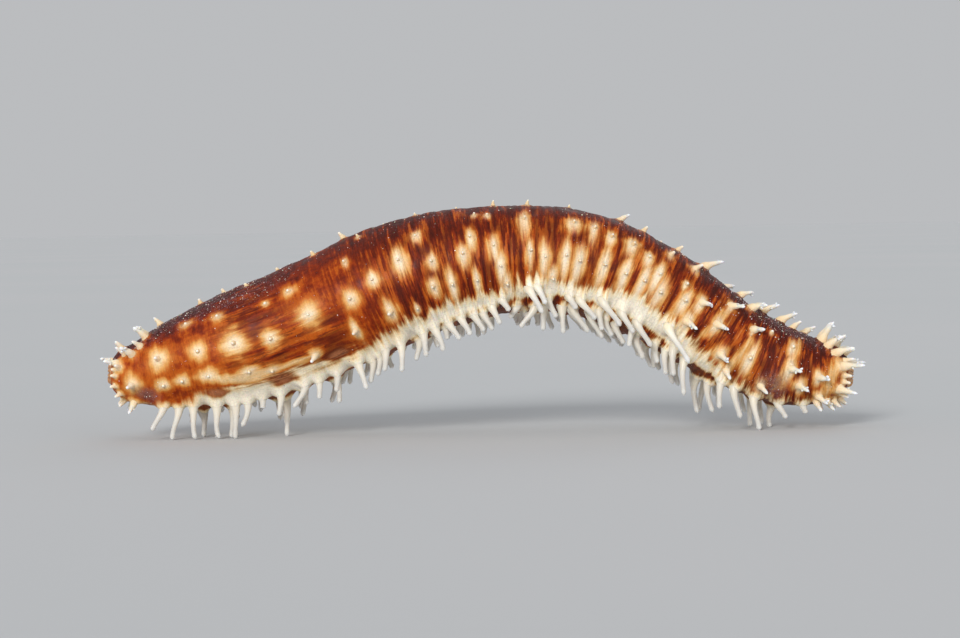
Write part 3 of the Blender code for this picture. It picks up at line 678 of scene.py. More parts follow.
up_it = np.linspace(0.0, 1.0, PAPILLA_RINGS)[None, :]
papilla_foot = by_length(0.6, 0.85, 1.5)[:, None]
papilla_tip = by_length(0.28, 0.3, 0.4)[:, None]
papilla_radii = papilla_tip + (papilla_foot - papilla_tip) * (1.0 - up_it) ** PAPILLA_POINT
slimmer = np.where(papilla_length < SHORT_PAPILLA, np.interp(papilla_along / MM, *SLIM), 1.0)
papilla_radii = papilla_radii * slimmer[:, None]
lump_draw = np.random.default_rng(PAPILLA_SEED + 1).uniform(0.0, 2.0 * math.pi, (len(papilla_length), 1))
is_long = np.interp(papilla_length / MM, (0.8, 3.2), (0.0, 1.0))[:, None]
papilla_radii = papilla_radii * (1.0 + PAPILLA_LUMPS * is_long * np.sin(13.0 * up_it + lump_draw))
papilla_radii = papilla_radii * rounded_off(up_it, 0.88, 0.125)

# Knobs: a long papilla bears one or two stubs near its tip, each a short stalk out of its side
knobs = np.repeat(np.flatnonzero(papilla_length > KNOB_BEARERS), 2)
knob_draw = np.random.default_rng(PAPILLA_SEED + 2)
knob_ring = knob_draw.integers(6, PAPILLA_RINGS - 2, len(knobs))
knob_turn = knob_draw.uniform(0.0, 2.0 * math.pi, len(knobs))[:, None]
knob_root = papilla_lines[knobs, knob_ring]
knob_along = unit(papilla_lines[knobs, knob_ring + 1] - knob_root)
knob_across = square_to(knob_along, papilla_across[knobs])
knob_side = knob_across * np.cos(knob_turn) + np.cross(knob_along, knob_across) * np.sin(knob_turn)
knob_size = KNOB_LENGTH * knob_draw.uniform(0.7, 1.2, len(knobs))[:, None, None]
knob_way = knob_side[:, None] + 0.5 * knob_along[:, None] * up_it[..., None]
knob_lines = knob_root[:, None] + knob_way * up_it[..., None] * knob_size
knob_radii = KNOB_RADIUS * (1.0 - 0.35 * up_it) * rounded_off(up_it, 0.8, 0.205)
knob_radii = np.broadcast_to(knob_radii, (len(knobs), PAPILLA_RINGS))
knob_reach = knob_ring[:, None] / PAPILLA_RINGS + 0.3 * up_it
warts = growth_piece(
    "papillae",
    np.concatenate((papilla_lines, knob_lines)),
    np.concatenate((papilla_radii, knob_radii)),
    np.concatenate((papilla_across, knob_along)),
    np.concatenate((papillae[:2], papillae[:2, knobs]), axis=1),
    PAPILLA_SIDES,
    {
        "reach": np.concatenate((np.broadcast_to(up_it, papilla_radii.shape), knob_reach)),
        "long": np.concatenate((is_long, is_long[knobs])),
    },
)


def papilla_material():
    """Firm flesh: tan where it leaves the pale ring, with a blunt, half clear, white tip."""
    material, tree, shader = new_material("papilla_flesh", {
        "Subsurface Weight": 0.5,
        "Subsurface Radius": (1.0, 0.75, 0.5),
        "Subsurface Scale": 0.8 * MM,
        "Sheen Weight": 0.1,
        "Roughness": 0.58,
        "Specular IOR Level": 0.22,
    })
    reach, long = share_of(tree, "reach"), share_of(tree, "long")
    place = place_of(tree)
    up_papilla = plus(reach, centred(noise_of(place, 1300.0), 0.4))
    short_colour = ramp_of(up_papilla, (
        (0.0, 224, 188, 138), (0.5, 226, 198, 156), (0.85, 240, 218, 188),
        (1.0, 250, 238, 220),
    ))
    long_colour = ramp_of(up_papilla, (
        (0.0, 228, 192, 144), (0.3, 236, 214, 178), (0.6, 228, 216, 194),
        (0.85, 222, 220, 216), (1.0, 248, 249, 250),
    ))
    colour = mix_of(long, short_colour, long_colour)
    dress(shader, colour, noise_of(place, 1900.0), 0.09 * MM, 0.7)
    return material


warts.data.materials.append(papilla_material())
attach(warts, "root")


# The skin
# One leathery wall covers all six lengths of the body. It rises in a tent to each foot and
# papilla, creases round the body where that is bent and along it on the hind flank, and carries
# the markings: red-brown, pale rings, a white band above the sole and a purple-brown back.
SKIN_ROWS = 530
SKIN_END_ROWS = 14
SKIN_CAP_ROWS = 4
SKIN_SIDES = 174
FOOT_TENT = 3.0 * MM
FOOT_TENT_REACH = 3.0 * MM
FOOT_TENT_SHAPE = 1.35
TENT_POWER = 1.9
ROUND_FOLD = 0.17 * MM
FINE_FOLD = 0.09 * MM
LONG_FOLD = 0.2 * MM
LUMP = 0.22 * MM
SMALL_LUMP = 0.1 * MM
END_SINK = 1.2 * MM
STRAIGHT_RADIUS = 12.0 * MM
# Pale bands of the fore part: mm from the vent, half width in mm, and the angles they lie between
FORE_BANDS = (
    (136.0, 2.0, 66.0, 126.0), (145.0, 1.9, 62.0, 118.0), (154.5, 1.8, 66.0, 138.0),
    (165.5, 2.1, 44.0, 132.0), (176.0, 2.4, 40.0, 170.0),
)
# Brown ovals between the webs of the hind edge: mm from the vent, degrees, and two radii in mm
BROWN_ISLANDS = ((23.1, 131.0, 3.2, 1.9), (38.4, 131.0, 3.6, 2.5), (52.0, 128.0, 3.6, 1.8))
# A cream stripe above them: mm from the vent, and degrees
HIND_STRIPE = ((17, 22, 29, 35, 42, 52), (102, 109, 117, 118, 119, 124))
# Grey-purple patches of clinging silt, in the same measures
SILT_PATCHES = ((163.5, 122.0, 3.6, 3.8), (7.6, 126.0, 2.6, 2.0))
# Rings of the bent flank are drawn out downwards: mm from the vent, and how many times
DRAWN_DOWN = ((70, 92, 134, 150), (1.0, 1.75, 1.75, 1.2))
# The upper edge of the white band: mm from the vent, and degrees
BAND_EDGE = (
    (0, 156), (10, 150), (20, 137), (30, 130), (38, 133), (50, 140), (60, 138), (70, 135),
    (80, 134), (90, 136), (96, 134), (101, 125), (106, 133), (112, 136), (120, 129), (128, 119),
    (135, 124), (145, 130), (155, 136), (165, 140), (180, 142),
)
# White fans that run up from the near feet: mm from the vent, and height in mm
FAN_HEIGHTS = ((0, 30, 45, 70, 100, 125, 145, 180), (1.2, 1.6, 2.4, 3.4, 4.2, 4.6, 3.0, 1.6))


def cloud(cell, cells_round, seed, shift=0.0):
    """Smooth noise from -1 to 1 on the unrolled skin, that joins up with itself round the body.

    Random heights stand at the corners of cells, so many mm long along the body and so many
    round it, and between them the height follows a smooth step in both directions. The shift
    moves the places at which it is read along the body.
    """
    row = (along + shift) / (cell * MM)
    column = np.mod(skin_turns, 1.0) * cells_round
    heights = np.random.default_rng(seed).uniform(-1.0, 1.0, (int(np.max(row)) + 3, cells_round))
    i, j = np.floor(row).astype(int), np.floor(column).astype(int) % cells_round
    u, v = row - np.floor(row), column - np.floor(column)
    u, v = u * u * (3.0 - 2.0 * u), v * v * (3.0 - 2.0 * v)
    k = (j + 1) % cells_round
    near_edge = heights[i, j] * (1.0 - v) + heights[i, k] * v
    far_edge = heights[i + 1, j] * (1.0 - v) + heights[i + 1, k] * v
    return near_edge * (1.0 - u) + far_edge * u


def rise(values, low, high):
    """A smooth step from 0 at low to 1 at high."""
    share = np.clip((values - low) / (high - low), 0.0, 1.0)
    return share * share * (3.0 - 2.0 * share)


def skin_rows():
    """Distances of the rows along the body, closer together where the ends are rounded off."""
    rounding = END_ROUNDING * (1.0 - np.cos(np.linspace(0.0, math.pi / 2.0, SKIN_END_ROWS + 1)))[:-1]
    middle = np.linspace(END_ROUNDING, BODY_LENGTH - END_ROUNDING, SKIN_ROWS)
    return np.concatenate((rounding, middle, BODY_LENGTH - rounding[::-1]))


rows = skin_rows()
turns = (np.arange(SKIN_SIDES) / SKIN_SIDES + 0.5) % 1.0
along, angle = np.meshgrid(rows, turns * 360.0, indexing="ij")
skin_turns = angle / 360.0
skin_outward = outward_at(along, angle)
skin_girth = np.broadcast_to(girth_at(rows)[:, None], along.shape)


def round_from(centre):
    """How far round the skin each point is from an angle, in metres, the short way."""
    return np.radians(np.mod(angle - centre + 180.0, 360.0) - 180.0) * skin_girth


def off_back(angle):
    """How far from the middle of the back an angle is, in degrees, to either side."""
    return np.abs(np.mod(angle + 180.0, 360.0) - 180.0)


def by_place(places, values):
    """A value for each row of the skin, from values at distances in mm from the vent."""
    return np.interp(rows / MM, places, values)[:, None]


def near_rows(place, reach):
    """The rows of the skin within that reach of a place along the body."""
    low, high = np.searchsorted(rows, (place - reach, place + reach))
    return slice(low, high)


# Tents: the skin is drawn out to each growth, the most at its middle and by a power of the way
# in. Where tents meet, the higher one counts for more, so that webs hang between them. Only the
# feet's tents, which are longer round the body, count as webs
tent_weight = np.zeros(along.shape)
tent_pull = np.zeros(along.shape + (3,))
foot_share = np.zeros(along.shape)
foot_out = feet_lines[:, 3] - feet_lines[:, 0]
papilla_out = papilla_lines[:, 3] - papilla_lines[:, 0]
papilla_height = by_length(0.25, 0.5, 1.5)
papilla_reach = by_length(1.0, 1.5, 2.7)
foot_height = FOOT_TENT * np.interp(feet_reach, (3.0 * MM, 7.0 * MM), (0.6, 1.0))
foot_reach = FOOT_TENT_REACH * np.interp(feet[0] / MM, (50, 82, 130, 145), (1.08, 0.84, 0.84, 1.0))
tents = [
    (feet[0], feet[1], foot_height, foot_reach, unit(foot_out), FOOT_TENT_SHAPE),
    (papilla_along, papilla_angle, papilla_height, papilla_reach, unit(papilla_out), 1.0),
]
for tent_along, tent_angle, heights, reaches, pulls, tent_shape in tents:
    for place, turn, height, reach, pull in zip(tent_along, tent_angle, heights, reaches, pulls):
        part = near_rows(place, reach)
        apart = np.hypot(along[part] - place, round_from(turn)[part] / tent_shape)
        nearness = np.clip(1.0 - apart / reach, 0.0, 1.0)
        lift = height * nearness**TENT_POWER
        weight = (lift / MM) ** 3
        tent_weight[part] += weight
        tent_pull[part] += (weight * lift)[..., None] * pull
        if tent_shape > 1.0:
            foot_share[part] = np.maximum(foot_share[part], nearness)
tent_pull = tent_pull / np.maximum(tent_weight, 1e-9)[..., None]

# Folds: creases round the body, deepest where it is bent, and slow lumps
crease_warp = 1.1 * MM * cloud(7.0, 7, 21)
round_fold = np.abs(cloud(1.5, 9, 22, crease_warp + 3.0 * MM))
fine_fold = np.abs(cloud(0.85, 13, 23, crease_warp + 3.0 * MM))
long_fold = np.abs(cloud(9.0, 64, 24))
from_back = off_back(angle)
bent = rise(along, 52.0 * MM, 76.0 * MM)
low_flank = rise(from_back, 66.0, 92.0)
lengthwise_end = rise(along, (38.0 + 14.0 * low_flank) * MM, (52.0 + 12.0 * low_flank) * MM)
lengthwise = rise(along, 20.0 * MM, 32.0 * MM) * (1.0 - lengthwise_end)
lengthwise = lengthwise * (1.0 - rise(from_back, 128.0, 150.0))
fold = ROUND_FOLD * (1.0 - round_fold) ** 3 + FINE_FOLD * (1.0 - fine_fold) ** 3
fold = -fold * (0.25 + 0.75 * bent)
fold = fold * (1.0 - lengthwise) - LONG_FOLD * (1.0 - long_fold) ** 3 * lengthwise
lumps = LUMP * cloud(6.0, 9, 25) + SMALL_LUMP * cloud(2.2, 26, 26)
from_end = np.minimum(along, BODY_LENGTH - along)
end_fade = rise(from_end, 0.0, 4.0 * MM)
skin_points = skin_at(along, angle) + skin_outward * ((fold + lumps) * end_fade)[..., None]
skin_points = skin_points + tent_pull * rise(from_end, 0.0, 1.0 * MM)[..., None]

# Markings: pale rings as cones that fall off from each papilla, fainter on the back, pale bands
# round the fore part, and a white band above the sole, all drawn out in streaks round the body
streak_warp = 0.8 * MM * cloud(5.0, 9, 33)
streak = 0.6 * cloud(1.5, 10, 31, streak_warp + 2.0 * MM)
streak = streak + 0.4 * cloud(0.75, 16, 32, streak_warp + 2.0 * MM)
streak = streak * (1.0 - lengthwise) + cloud(8.0, 60, 34) * lengthwise
pale = np.zeros(along.shape)
centre_share = np.zeros(along.shape)
core = np.zeros(along.shape)
for place, turn, half_along, half_round in zip(papilla_along, papilla_angle, ring_along, ring_round):
    part = near_rows(place, 3.0 * half_along)
    round_it = round_from(turn)[part] / half_round
    along_it = (along[part] - place) / half_along
    below = round_it > 0.0 if turn < 180.0 else round_it < 0.0
    on_flank = 50.0 < off_back(turn) < 128.0
    drawn_down = np.interp(place / MM, *DRAWN_DOWN) if on_flank else 1.0
    round_it = np.where(below, round_it / drawn_down, round_it)
    apart = np.hypot(along_it, round_it)
    bearing = np.arctan2(round_it, along_it)
    wobble = 0.08 * np.sin(3.0 * bearing + place * 900.0) + 0.05 * np.sin(7.0 * bearing + place * 2300.0)
    cone = np.clip(1.0 - apart * (1.0 + wobble) / 2.0, 0.0, 1.0)
    strength = np.interp(off_back(turn), (20.0, 50.0, 68.0), (0.66, 0.74, 1.0))
    pale[part] = np.maximum(pale[part], cone * strength)
    metres = np.hypot(along[part] - place, round_from(turn)[part])
    centre_share[part] = np.maximum(centre_share[part], np.clip(1.0 - metres / (1.2 * MM), 0.0, 1.0))
    tall = np.interp(place, (50.0 * MM, 66.0 * MM), (0.3, 0.62))
    spindle = np.exp(-((along_it / 0.42) ** 2) - (round_it / tall) ** 2)
    core[part] = np.maximum(core[part], spindle * strength)
slant = along + (from_back - 95.0) * 0.03 * MM
for place, half, top, low in FORE_BANDS:
    bell = np.exp(-(((slant - place * MM) / (half * MM)) ** 2))
    below_top = rise(from_back + 14.0 * streak, top - 14.0, top + 14.0)
    above_low = 1.0 - rise(from_back, low - 10.0, low + 10.0)
    pale = np.maximum(pale, 0.66 * bell * below_top * above_low)
stripe_off = from_back - by_place(*HIND_STRIPE)
stripe = np.exp(-(((stripe_off + 4.0 * streak) / 9.0) ** 2))
stripe = stripe * rise(along, 17.0 * MM, 22.0 * MM) * (1.0 - rise(along, 42.0 * MM, 56.0 * MM))
pale = np.maximum(pale, 0.82 * stripe)
band_edge = by_place(*zip(*BAND_EDGE))
band_end = by_place((0, 60, 80, 128, 145, 180), (160, 158, 145, 143, 156, 160))
band_strength = by_place(
    (0, 15, 35, 60, 80, 125, 145, 160, 180), (0.2, 0.8, 0.95, 0.95, 1.0, 1.0, 0.8, 0.5, 0.3)
)
white = rise(from_back + 9.0 * streak, band_edge - 22.0, band_edge + 12.0) * band_strength
white = white * (1.0 - rise(from_back, band_end - 8.0, band_end + 8.0))
fan_heights = np.interp(feet[0] / MM, *FAN_HEIGHTS) * MM
for place, turn, height in zip(feet[0], feet[1], fan_heights):
    part = near_rows(place, 4.0 * MM)
    side = 1.0 if turn < 180.0 else -1.0
    above = -side * round_from(turn)[part]
    way_up = np.clip(above / height, 0.0, 1.0)
    width = (1.7 - 1.1 * way_up) * MM
    fan = np.exp(-(((along[part] - place) / width) ** 2)) * (1.0 - way_up**1.5) * (above > -1.5 * MM)
    white[part] = np.maximum(white[part], np.interp(place, (10.0 * MM, 50.0 * MM), (0.6, 0.95)) * fan)


def patches(table):
    """Soft ovals on the skin: one in the middle, falling to nought at the rim, edges uneven."""
    share = np.zeros(along.shape)
    for place, turn, half_along, half_round in table:
        apart = np.hypot((along - place * MM) / (half_along * MM), round_from(turn) / (half_round * MM))
        share = np.maximum(share, 1.0 - rise(apart + 0.25 * streak, 0.3, 1.35))
    return share


island = patches(BROWN_ISLANDS)
silt = patches(SILT_PATCHES)
white = white * (1.0 - 0.8 * island)
pale = pale * (1.0 - 0.7 * island)
web_strength = by_place((0, 12, 30, 50, 150, 165, 180), (0.6, 0.66, 0.85, 1.0, 1.0, 0.8, 0.7))
white = np.maximum(white, rise(foot_share + 0.12 * streak, 0.2, 0.8) * web_strength)
dark_along = by_place((0, 20, 40, 70, 110, 130, 150, 180), (0.9, 0.82, 0.55, 0.3, 0.28, 0.45, 0.65, 0.8))
dark = (1.0 - rise(from_back, 12.0, 75.0)) * dark_along
sole = rise(from_back, 150.0, 168.0)
grit = (1.0 - rise(from_back, 30.0, 58.0)) * by_place(
    (0, 8, 14, 38, 52, 110, 128, 150, 180), (0.35, 0.6, 0.9, 0.8, 0.15, 0.08, 0.4, 0.7, 0.9)
)
grit = np.maximum(grit, 0.8 * silt)
fore = rise(along, 126.0 * MM, 142.0 * MM)

# The two ends turn in to a hollow under the mouth and the vent, and close there
cap_share = np.linspace(1.0, 0.0, SKIN_CAP_ROWS + 1)[1:-1]


def end_cap(row, sign):
    """Rows that close one end: its last row drawn in to the midline, and sunk by the way in."""
    centre, forward, _, _ = frame_at(rows[row])
    rim = skin_points[row] - centre
    sunk = -forward * sign * (1.0 - cap_share)[:, None, None] * END_SINK
    return centre + rim * cap_share[:, None, None] + sunk, centre - forward * sign * END_SINK


vent_cap, vent_pole = end_cap(0, -1.0)
mouth_cap, mouth_pole = end_cap(-1, 1.0)
all_rows = np.concatenate((vent_cap[::-1], skin_points, mouth_cap))


def with_caps(values):
    """A share of the skin's rows, carried on over the two ends and their poles."""
    head = np.repeat(values[:1], len(cap_share), axis=0)
    tail = np.repeat(values[-1:], len(cap_share), axis=0)
    joined = np.concatenate((head, values, tail))
    flat = joined.reshape((-1,) + values.shape[2:])
    return np.concatenate((flat, joined[0, :1], joined[-1, :1]))


straight = np.stack((
    along,
    STRAIGHT_RADIUS * np.cos(2.0 * math.pi * skin_turns),
    STRAIGHT_RADIUS * np.sin(2.0 * math.pi * skin_turns),
), -1)
quads, fans, quad_map, fan_map = tube_faces(1, len(all_rows), SKIN_SIDES)
skin_shares = {
    "straight": straight, "pale": pale, "centre": centre_share, "white": white, "dark": dark,
    "sole": sole, "grit": grit, "lengthwise": lengthwise, "bent": bent, "fore": fore,
    "streak": streak, "core": core, "island": island, "silt": silt,
    "fold": np.clip(-fold / LONG_FOLD, 0.0, 1.0),
}
skin = new_piece(
    "body_skin", np.concatenate((all_rows.reshape(-1, 3), vent_pole[None], mouth_pole[None])),
    quads[:, ::-1], fans[:, ::-1], quad_map[:, :, ::-1], fan_map[:, :, ::-1],
    {name: with_caps(values) for name, values in skin_shares.items()},
)


def skin_material():
    """Wet leather: red-brown under pale rings and a white band, creased, with painted shade in the
    creases and round the brown ovals, and a gritty back.
    """
    material, tree, shader = new_material("body_wall", {
        "Subsurface Weight": 0.15,
        "Subsurface Radius": (1.0, 0.45, 0.2),
        "Subsurface Scale": 0.7 * MM,
        "Specular IOR Level": 0.13,
        "Coat Weight": 0.03,
        "Coat Roughness": 0.25,
    })
    straight_place = share_of(tree, "straight", "Vector")
    place = place_of(tree)

    def stretched(scale, cells, detail, roughness):
        """Noise on the straightened body, stretched by a scale for each of its three directions."""
        mapping = add_node(tree, "ShaderNodeMapping", {}, {"Vector": straight_place, "Scale": scale})
        return noise_of(mapping.outputs[0], cells, detail, roughness)

    def crease_of(noise, width):
        """One along the lines where a noise crosses its middle, falling off over a width."""
        off = math_of("ABSOLUTE", math_of("SUBTRACT", noise, 0.5))
        return map_of(off, 0.0, width, 1.0, 0.0)

    round_noise = stretched((1.0, 0.12, 0.12), 960.0, 4.0, 0.62)
    long_noise = stretched((0.12, 1.0, 1.0), 700.0, 4.0, 0.62)
    round_lines = stretched((1.0, 0.1, 0.1), 1700.0, 2.0, 0.5)
    long_lines = stretched((0.1, 1.0, 1.0), 1500.0, 2.0, 0.5)
    free_noise = noise_of(place, 420.0, 4.0, 0.6)
    fine_noise = noise_of(place, 2200.0, 3.0, 0.6)
    lengthwise_share = share_of(tree, "lengthwise")
    bent_share = share_of(tree, "bent")

    # Pale rings and the white band, their edges broken up by the lines of the skin
    lines = mix_of(lengthwise_share, round_noise, long_noise)
    fine_lines = mix_of(lengthwise_share, round_lines, long_lines)
    broken = plus(centred(lines, 0.7), centred(fine_lines, 0.36))
    line_strength = larger(map_of(bent_share, 0.0, 1.0, 0.3, 1.0), lengthwise_share)
    broken = times(broken, map_of(line_strength, 0.3, 1.0, 0.4, 1.0))
    broken = plus(broken, centred(free_noise, 0.16))
    pale_share = plus(share_of(tree, "pale"), broken)
    pale_share = plus(pale_share, times(share_of(tree, "streak"), 0.05))
    white_share = plus(share_of(tree, "white"), times(broken, 1.7))

    # The ground: orange-brown low on the flank, red-brown above, purple-brown on the back, with
    # finer light and dark lines through it, and more orange round the pale rings
    line_shade = plus(centred(lines, -1.4), centred(fine_lines, -1.2))
    blotch = times(centred(free_noise, -1.5), map_of(line_strength, 0.3, 1.0, 1.0, 0.3))
    ground_place = plus(share_of(tree, "dark"), times(line_shade, line_strength))
    ground_place = plus(ground_place, blotch)
    ground_place = math_of("SUBTRACT", ground_place, map_of(pale_share, 0.05, 0.45, 0.0, 0.42))
    ground_place = math_of("SUBTRACT", ground_place, map_of(white_share, 0.0, 0.4, 0.0, 0.35))
    ground_place = plus(ground_place, map_of(bent_share, 0.0, 1.0, 0.24, 0.34))
    ground_place = plus(ground_place, map_of(share_of(tree, "fore"), 0.0, 1.0, 0.0, 0.06))
    hind_ground = ramp_of(ground_place, (
        (0.0, 180, 84, 16), (0.2, 156, 60, 6), (0.45, 127, 39, 4),
        (0.7, 94, 26, 7), (1.0, 58, 20, 13),
    ))
    bent_ground = ramp_of(ground_place, (
        (0.0, 178, 84, 18), (0.2, 146, 53, 6), (0.42, 114, 33, 5),
        (0.66, 84, 22, 5), (1.0, 54, 16, 8),
    ))
    ground = mix_of(bent_share, hind_ground, bent_ground)
    ground = mix_of(map_of(share_of(tree, "sole"), 0.0, 1.0, 0.0, 0.7), ground, srgb(132, 70, 30))

    # Pale rings: orange at the rim, then tan, then cream, and greyer round the papilla
    ring_colour = ramp_of(pale_share, (
        (0.28, 176, 80, 18), (0.44, 200, 116, 44), (0.6, 218, 158, 86),
        (0.78, 236, 198, 144), (0.9, 242, 214, 168), (1.0, 230, 200, 156),
    ))
    colour = mix_of(map_of(pale_share, 0.28, 0.54), ground, ring_colour)
    grey_centre = map_of(share_of(tree, "centre"), 0.05, 0.7, 0.0, 0.26)
    colour = mix_of(grey_centre, colour, srgb(178, 146, 114))
    white_colour = ramp_of(white_share, (
        (0.22, 204, 132, 62), (0.42, 232, 190, 130), (0.62, 252, 230, 190),
        (0.85, 255, 245, 222), (1.0, 255, 245, 226),
    ))
    colour = mix_of(map_of(white_share, 0.22, 0.5), colour, white_colour)
    core_share = times(share_of(tree, "core"), map_of(lines, 0.3, 0.6, 0.45, 1.0))
    colour = mix_of(times(core_share, 0.8), colour, srgb(252, 240, 220))

    # Brown ovals between the webs, with painted shade round the rim and lighter in the middle as if they
    # were rounded cushions, and the patches of silt
    uneven_island = plus(share_of(tree, "island"), times(broken, 0.9))
    island_painted_shading = ramp_of(uneven_island, (
        (0.2, 176, 104, 48), (0.45, 142, 76, 34), (1.0, 190, 132, 92),
    ))
    colour = mix_of(map_of(uneven_island, 0.05, 0.7, 0.0, 0.62), colour, island_painted_shading)
    silt_share = times(share_of(tree, "silt"), map_of(free_noise, 0.35, 0.6, 0.25, 0.8))
    colour = mix_of(silt_share, colour, srgb(132, 88, 80))

    # Creases are painted darker, a painted shade in them, and dent the surface
    round_crease = crease_of(round_noise, 0.035)
    round_crease = times(round_crease, map_of(bent_share, 0.0, 1.0, 0.3, 1.0))
    long_crease = times(crease_of(long_noise, 0.04), lengthwise_share)
    crease = larger(round_crease, long_crease)
    crease = larger(crease, map_of(share_of(tree, "fold"), 0.25, 0.9, 0.0, 0.9))
    is_light = map_of(larger(pale_share, white_share), 0.3, 0.6)
    crease_painted_shade = times(crease, map_of(is_light, 0.0, 1.0, 0.68, 0.16))
    colour = mix_of(crease_painted_shade, colour, srgb(64, 18, 6))
    mottle = map_of(fine_noise, 0.35, 0.7, 0.86, 1.08)
    mottle_colour = add_node(tree, "ShaderNodeCombineColor", {}, {0: mottle, 1: mottle, 2: mottle})
    colour = mix_of(1.0, colour, mottle_colour.outputs[0], "MULTIPLY")

    # Grit: fine sediment that clings to the back and to the mouth's end
    grains = noise_of(place, 1500.0, 5.0, 0.75)
    grit_share = times(share_of(tree, "grit"), map_of(grains, 0.42, 0.62))
    grit_colour = ramp_of(noise_of(place, 3100.0, 2.0, 0.5), (
        (0.3, 56, 22, 22), (0.52, 106, 62, 64), (0.72, 172, 136, 140),
    ))
    colour = mix_of(times(grit_share, 0.78), colour, grit_colour)
    tree.links.new(colour, shader.inputs["Base Color"])
    rough = map_of(free_noise, 0.3, 0.7, 0.42, 0.62)
    tree.links.new(rough, shader.inputs["Roughness"])

    first = add_node(tree, "ShaderNodeBump", {}, {
        "Height": times(crease, -1.0), "Distance": 0.1 * MM, "Strength": 0.7,
    })
    grain = add_node(tree, "ShaderNodeBump", {}, {
        "Height": plus(fine_noise, times(grit_share, 0.8)),
        "Distance": 0.09 * MM, "Strength": 0.6, "Normal": first.outputs["Normal"],
    })
    tree.links.new(grain.outputs["Normal"], shader.inputs["Normal"])
    return material


skin.data.materials.append(skin_material())
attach(skin, "root")
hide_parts("vent_end", "hind_body", "hind_middle", "fore_middle", "fore_body", "oral_end")


# The mouth and the vent
# Each end closes in a puckered ring of muscle. The mouth's ring holds the blunt tips of the
# feeding tentacles, drawn in, and the vent's is smaller and tighter.
LIP_RINGS = 26
LIP_SIDES = 96
LIP_OUTLINE = np.array((
    (1.0, -0.5), (1.02, 0.1), (0.92, 0.55), (0.74, 0.9), (0.54, 1.0), (0.36, 0.78), (0.24, 0.3),
    (0.18, -0.2), (0.1, -0.45), (0.0, -0.5),
))


def lips(name, along_end, sign, height, folds):
    """A puckered ring turned about the body's line: an outline, whose radius and height ripple.

    The outline gives shares of the end's radius and of the height. Folds run in from the rim,
    deepest at the crest, each a little unlike the next.
    """
    walked = walk(LIP_OUTLINE)
    at = np.linspace(0.0, walked[-1], LIP_RINGS + 1)[:-1]
    out = smooth_curve(walked, LIP_OUTLINE[:, 0], at)[:, None]
    high = smooth_curve(walked, LIP_OUTLINE[:, 1], at)[:, None]
    turn = 2.0 * math.pi * np.arange(LIP_SIDES) / LIP_SIDES
    ripple = np.cos(folds * turn + 0.7 * np.sin(2.0 * turn + 1.0))[None, :]
    crest = np.exp(-(((at / walked[-1])[:, None] - 0.5) / 0.24) ** 2)
    radius = float(girth_at(along_end)) * 0.97 * (out + 0.05 * ripple * crest)
    lift = height * (high + 0.22 * ripple * crest)
    centre, forward, back, far = frame_at(along_end)
    across = back * np.cos(turn)[:, None] + far * np.sin(turn)[:, None] * sign
    points = centre + across[None] * radius[..., None] + forward * sign * lift[..., None]
    pole_low = centre + forward * sign * (LIP_OUTLINE[0, 1] * height)
    pole_high = centre + forward * sign * (LIP_OUTLINE[-1, 1] * height)
    quads, fans, quad_map, fan_map = tube_faces(1, LIP_RINGS, LIP_SIDES)
    reach = np.repeat(at / walked[-1], LIP_SIDES)
    # How deep each point lies between two folds, for the painted shade there
    valley_shade = ((1.0 - ripple) * 0.5 * crest).ravel()
    shares = {
        "reach": np.concatenate((reach, (0.0, 1.0))),
        "valley_shade": np.concatenate((valley_shade, (0.0, 0.0))),
    }
    points = np.concatenate((points.reshape(-1, 3), pole_low[None], pole_high[None]))
    return new_piece(name, points, quads, fans, quad_map, fan_map, shares)


def lip_material(name, rim, deep):
    """Puckered muscle: one colour on the folds, with painted shade between them and down the opening."""
    material, tree, shader = new_material(name, {
        "Subsurface Weight": 0.2,
        "Subsurface Radius": (1.0, 0.5, 0.3),
        "Subsurface Scale": 0.5 * MM,
        "Coat Weight": 0.25,
        "Coat Roughness": 0.2,
        "Roughness": 0.4,
    })
    noise = noise_of(place_of(tree), 1600.0, 4.0, 0.6)
    depth = plus(share_of(tree, "reach"), centred(noise, 0.3))
    # Painted shade: the colour darkens down the opening nearly to black, and more between the folds
    stops = (0.15, *rim), (0.5, *rim), (0.72, *deep), (1.0, 26, 12, 10)
    shade = times(share_of(tree, "valley_shade"), 0.7)
    colour = mix_of(shade, ramp_of(depth, stops), srgb(*deep))
    dress(shader, colour, noise, 0.08 * MM, 0.7)
    return material


mouth_lips = lips("mouth_lips", BODY_LENGTH, 1.0, 1.1 * MM, 15)
mouth_lips.data.materials.append(lip_material("mouth_flesh", (206, 158, 108), (120, 66, 36)))
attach(mouth_lips, "root")
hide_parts("mouth")

vent_lips = lips("vent_lips", 0.0, -1.0, 0.7 * MM, 11)
vent_lips.data.materials.append(lip_material("vent_flesh", (190, 136, 88), (104, 54, 34)))
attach(vent_lips, "root")
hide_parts("vent")

# Tentacle tips: twenty short blunt knobs drawn into the mouth
TENTACLES = 20
TENTACLE_RINGS = 9
TENTACLE_SIDES = 10
TENTACLE_RADIUS = 0.19 * MM
TENTACLE_SWELL = 0.1 * MM
TENTACLE_TIP = 0.55
turn = 2.0 * math.pi * (np.arange(TENTACLES) + 0.5 * (np.arange(TENTACLES) % 2)) / TENTACLES
mouth_centre, mouth_forward, mouth_back, mouth_far = frame_at(BODY_LENGTH)
tentacle_out = mouth_back * np.cos(turn)[:, None] + mouth_far * np.sin(turn)[:, None]
tentacle_ring = np.where(np.arange(TENTACLES) % 2, 0.62, 1.0)[:, None, None] * MM
way = np.linspace(0.0, 1.0, TENTACLE_RINGS)[None, :, None]
tentacle_lines = (
    mouth_centre
    + tentacle_out[:, None] * tentacle_ring * (0.75 + 0.35 * way)
    + mouth_forward * (way * 1.5 - 0.4) * MM
)
tentacle_radii = np.repeat(TENTACLE_RADIUS + TENTACLE_SWELL * way[..., 0] ** 2, TENTACLES, axis=0)
tentacle_radii[:, -1] *= TENTACLE_TIP
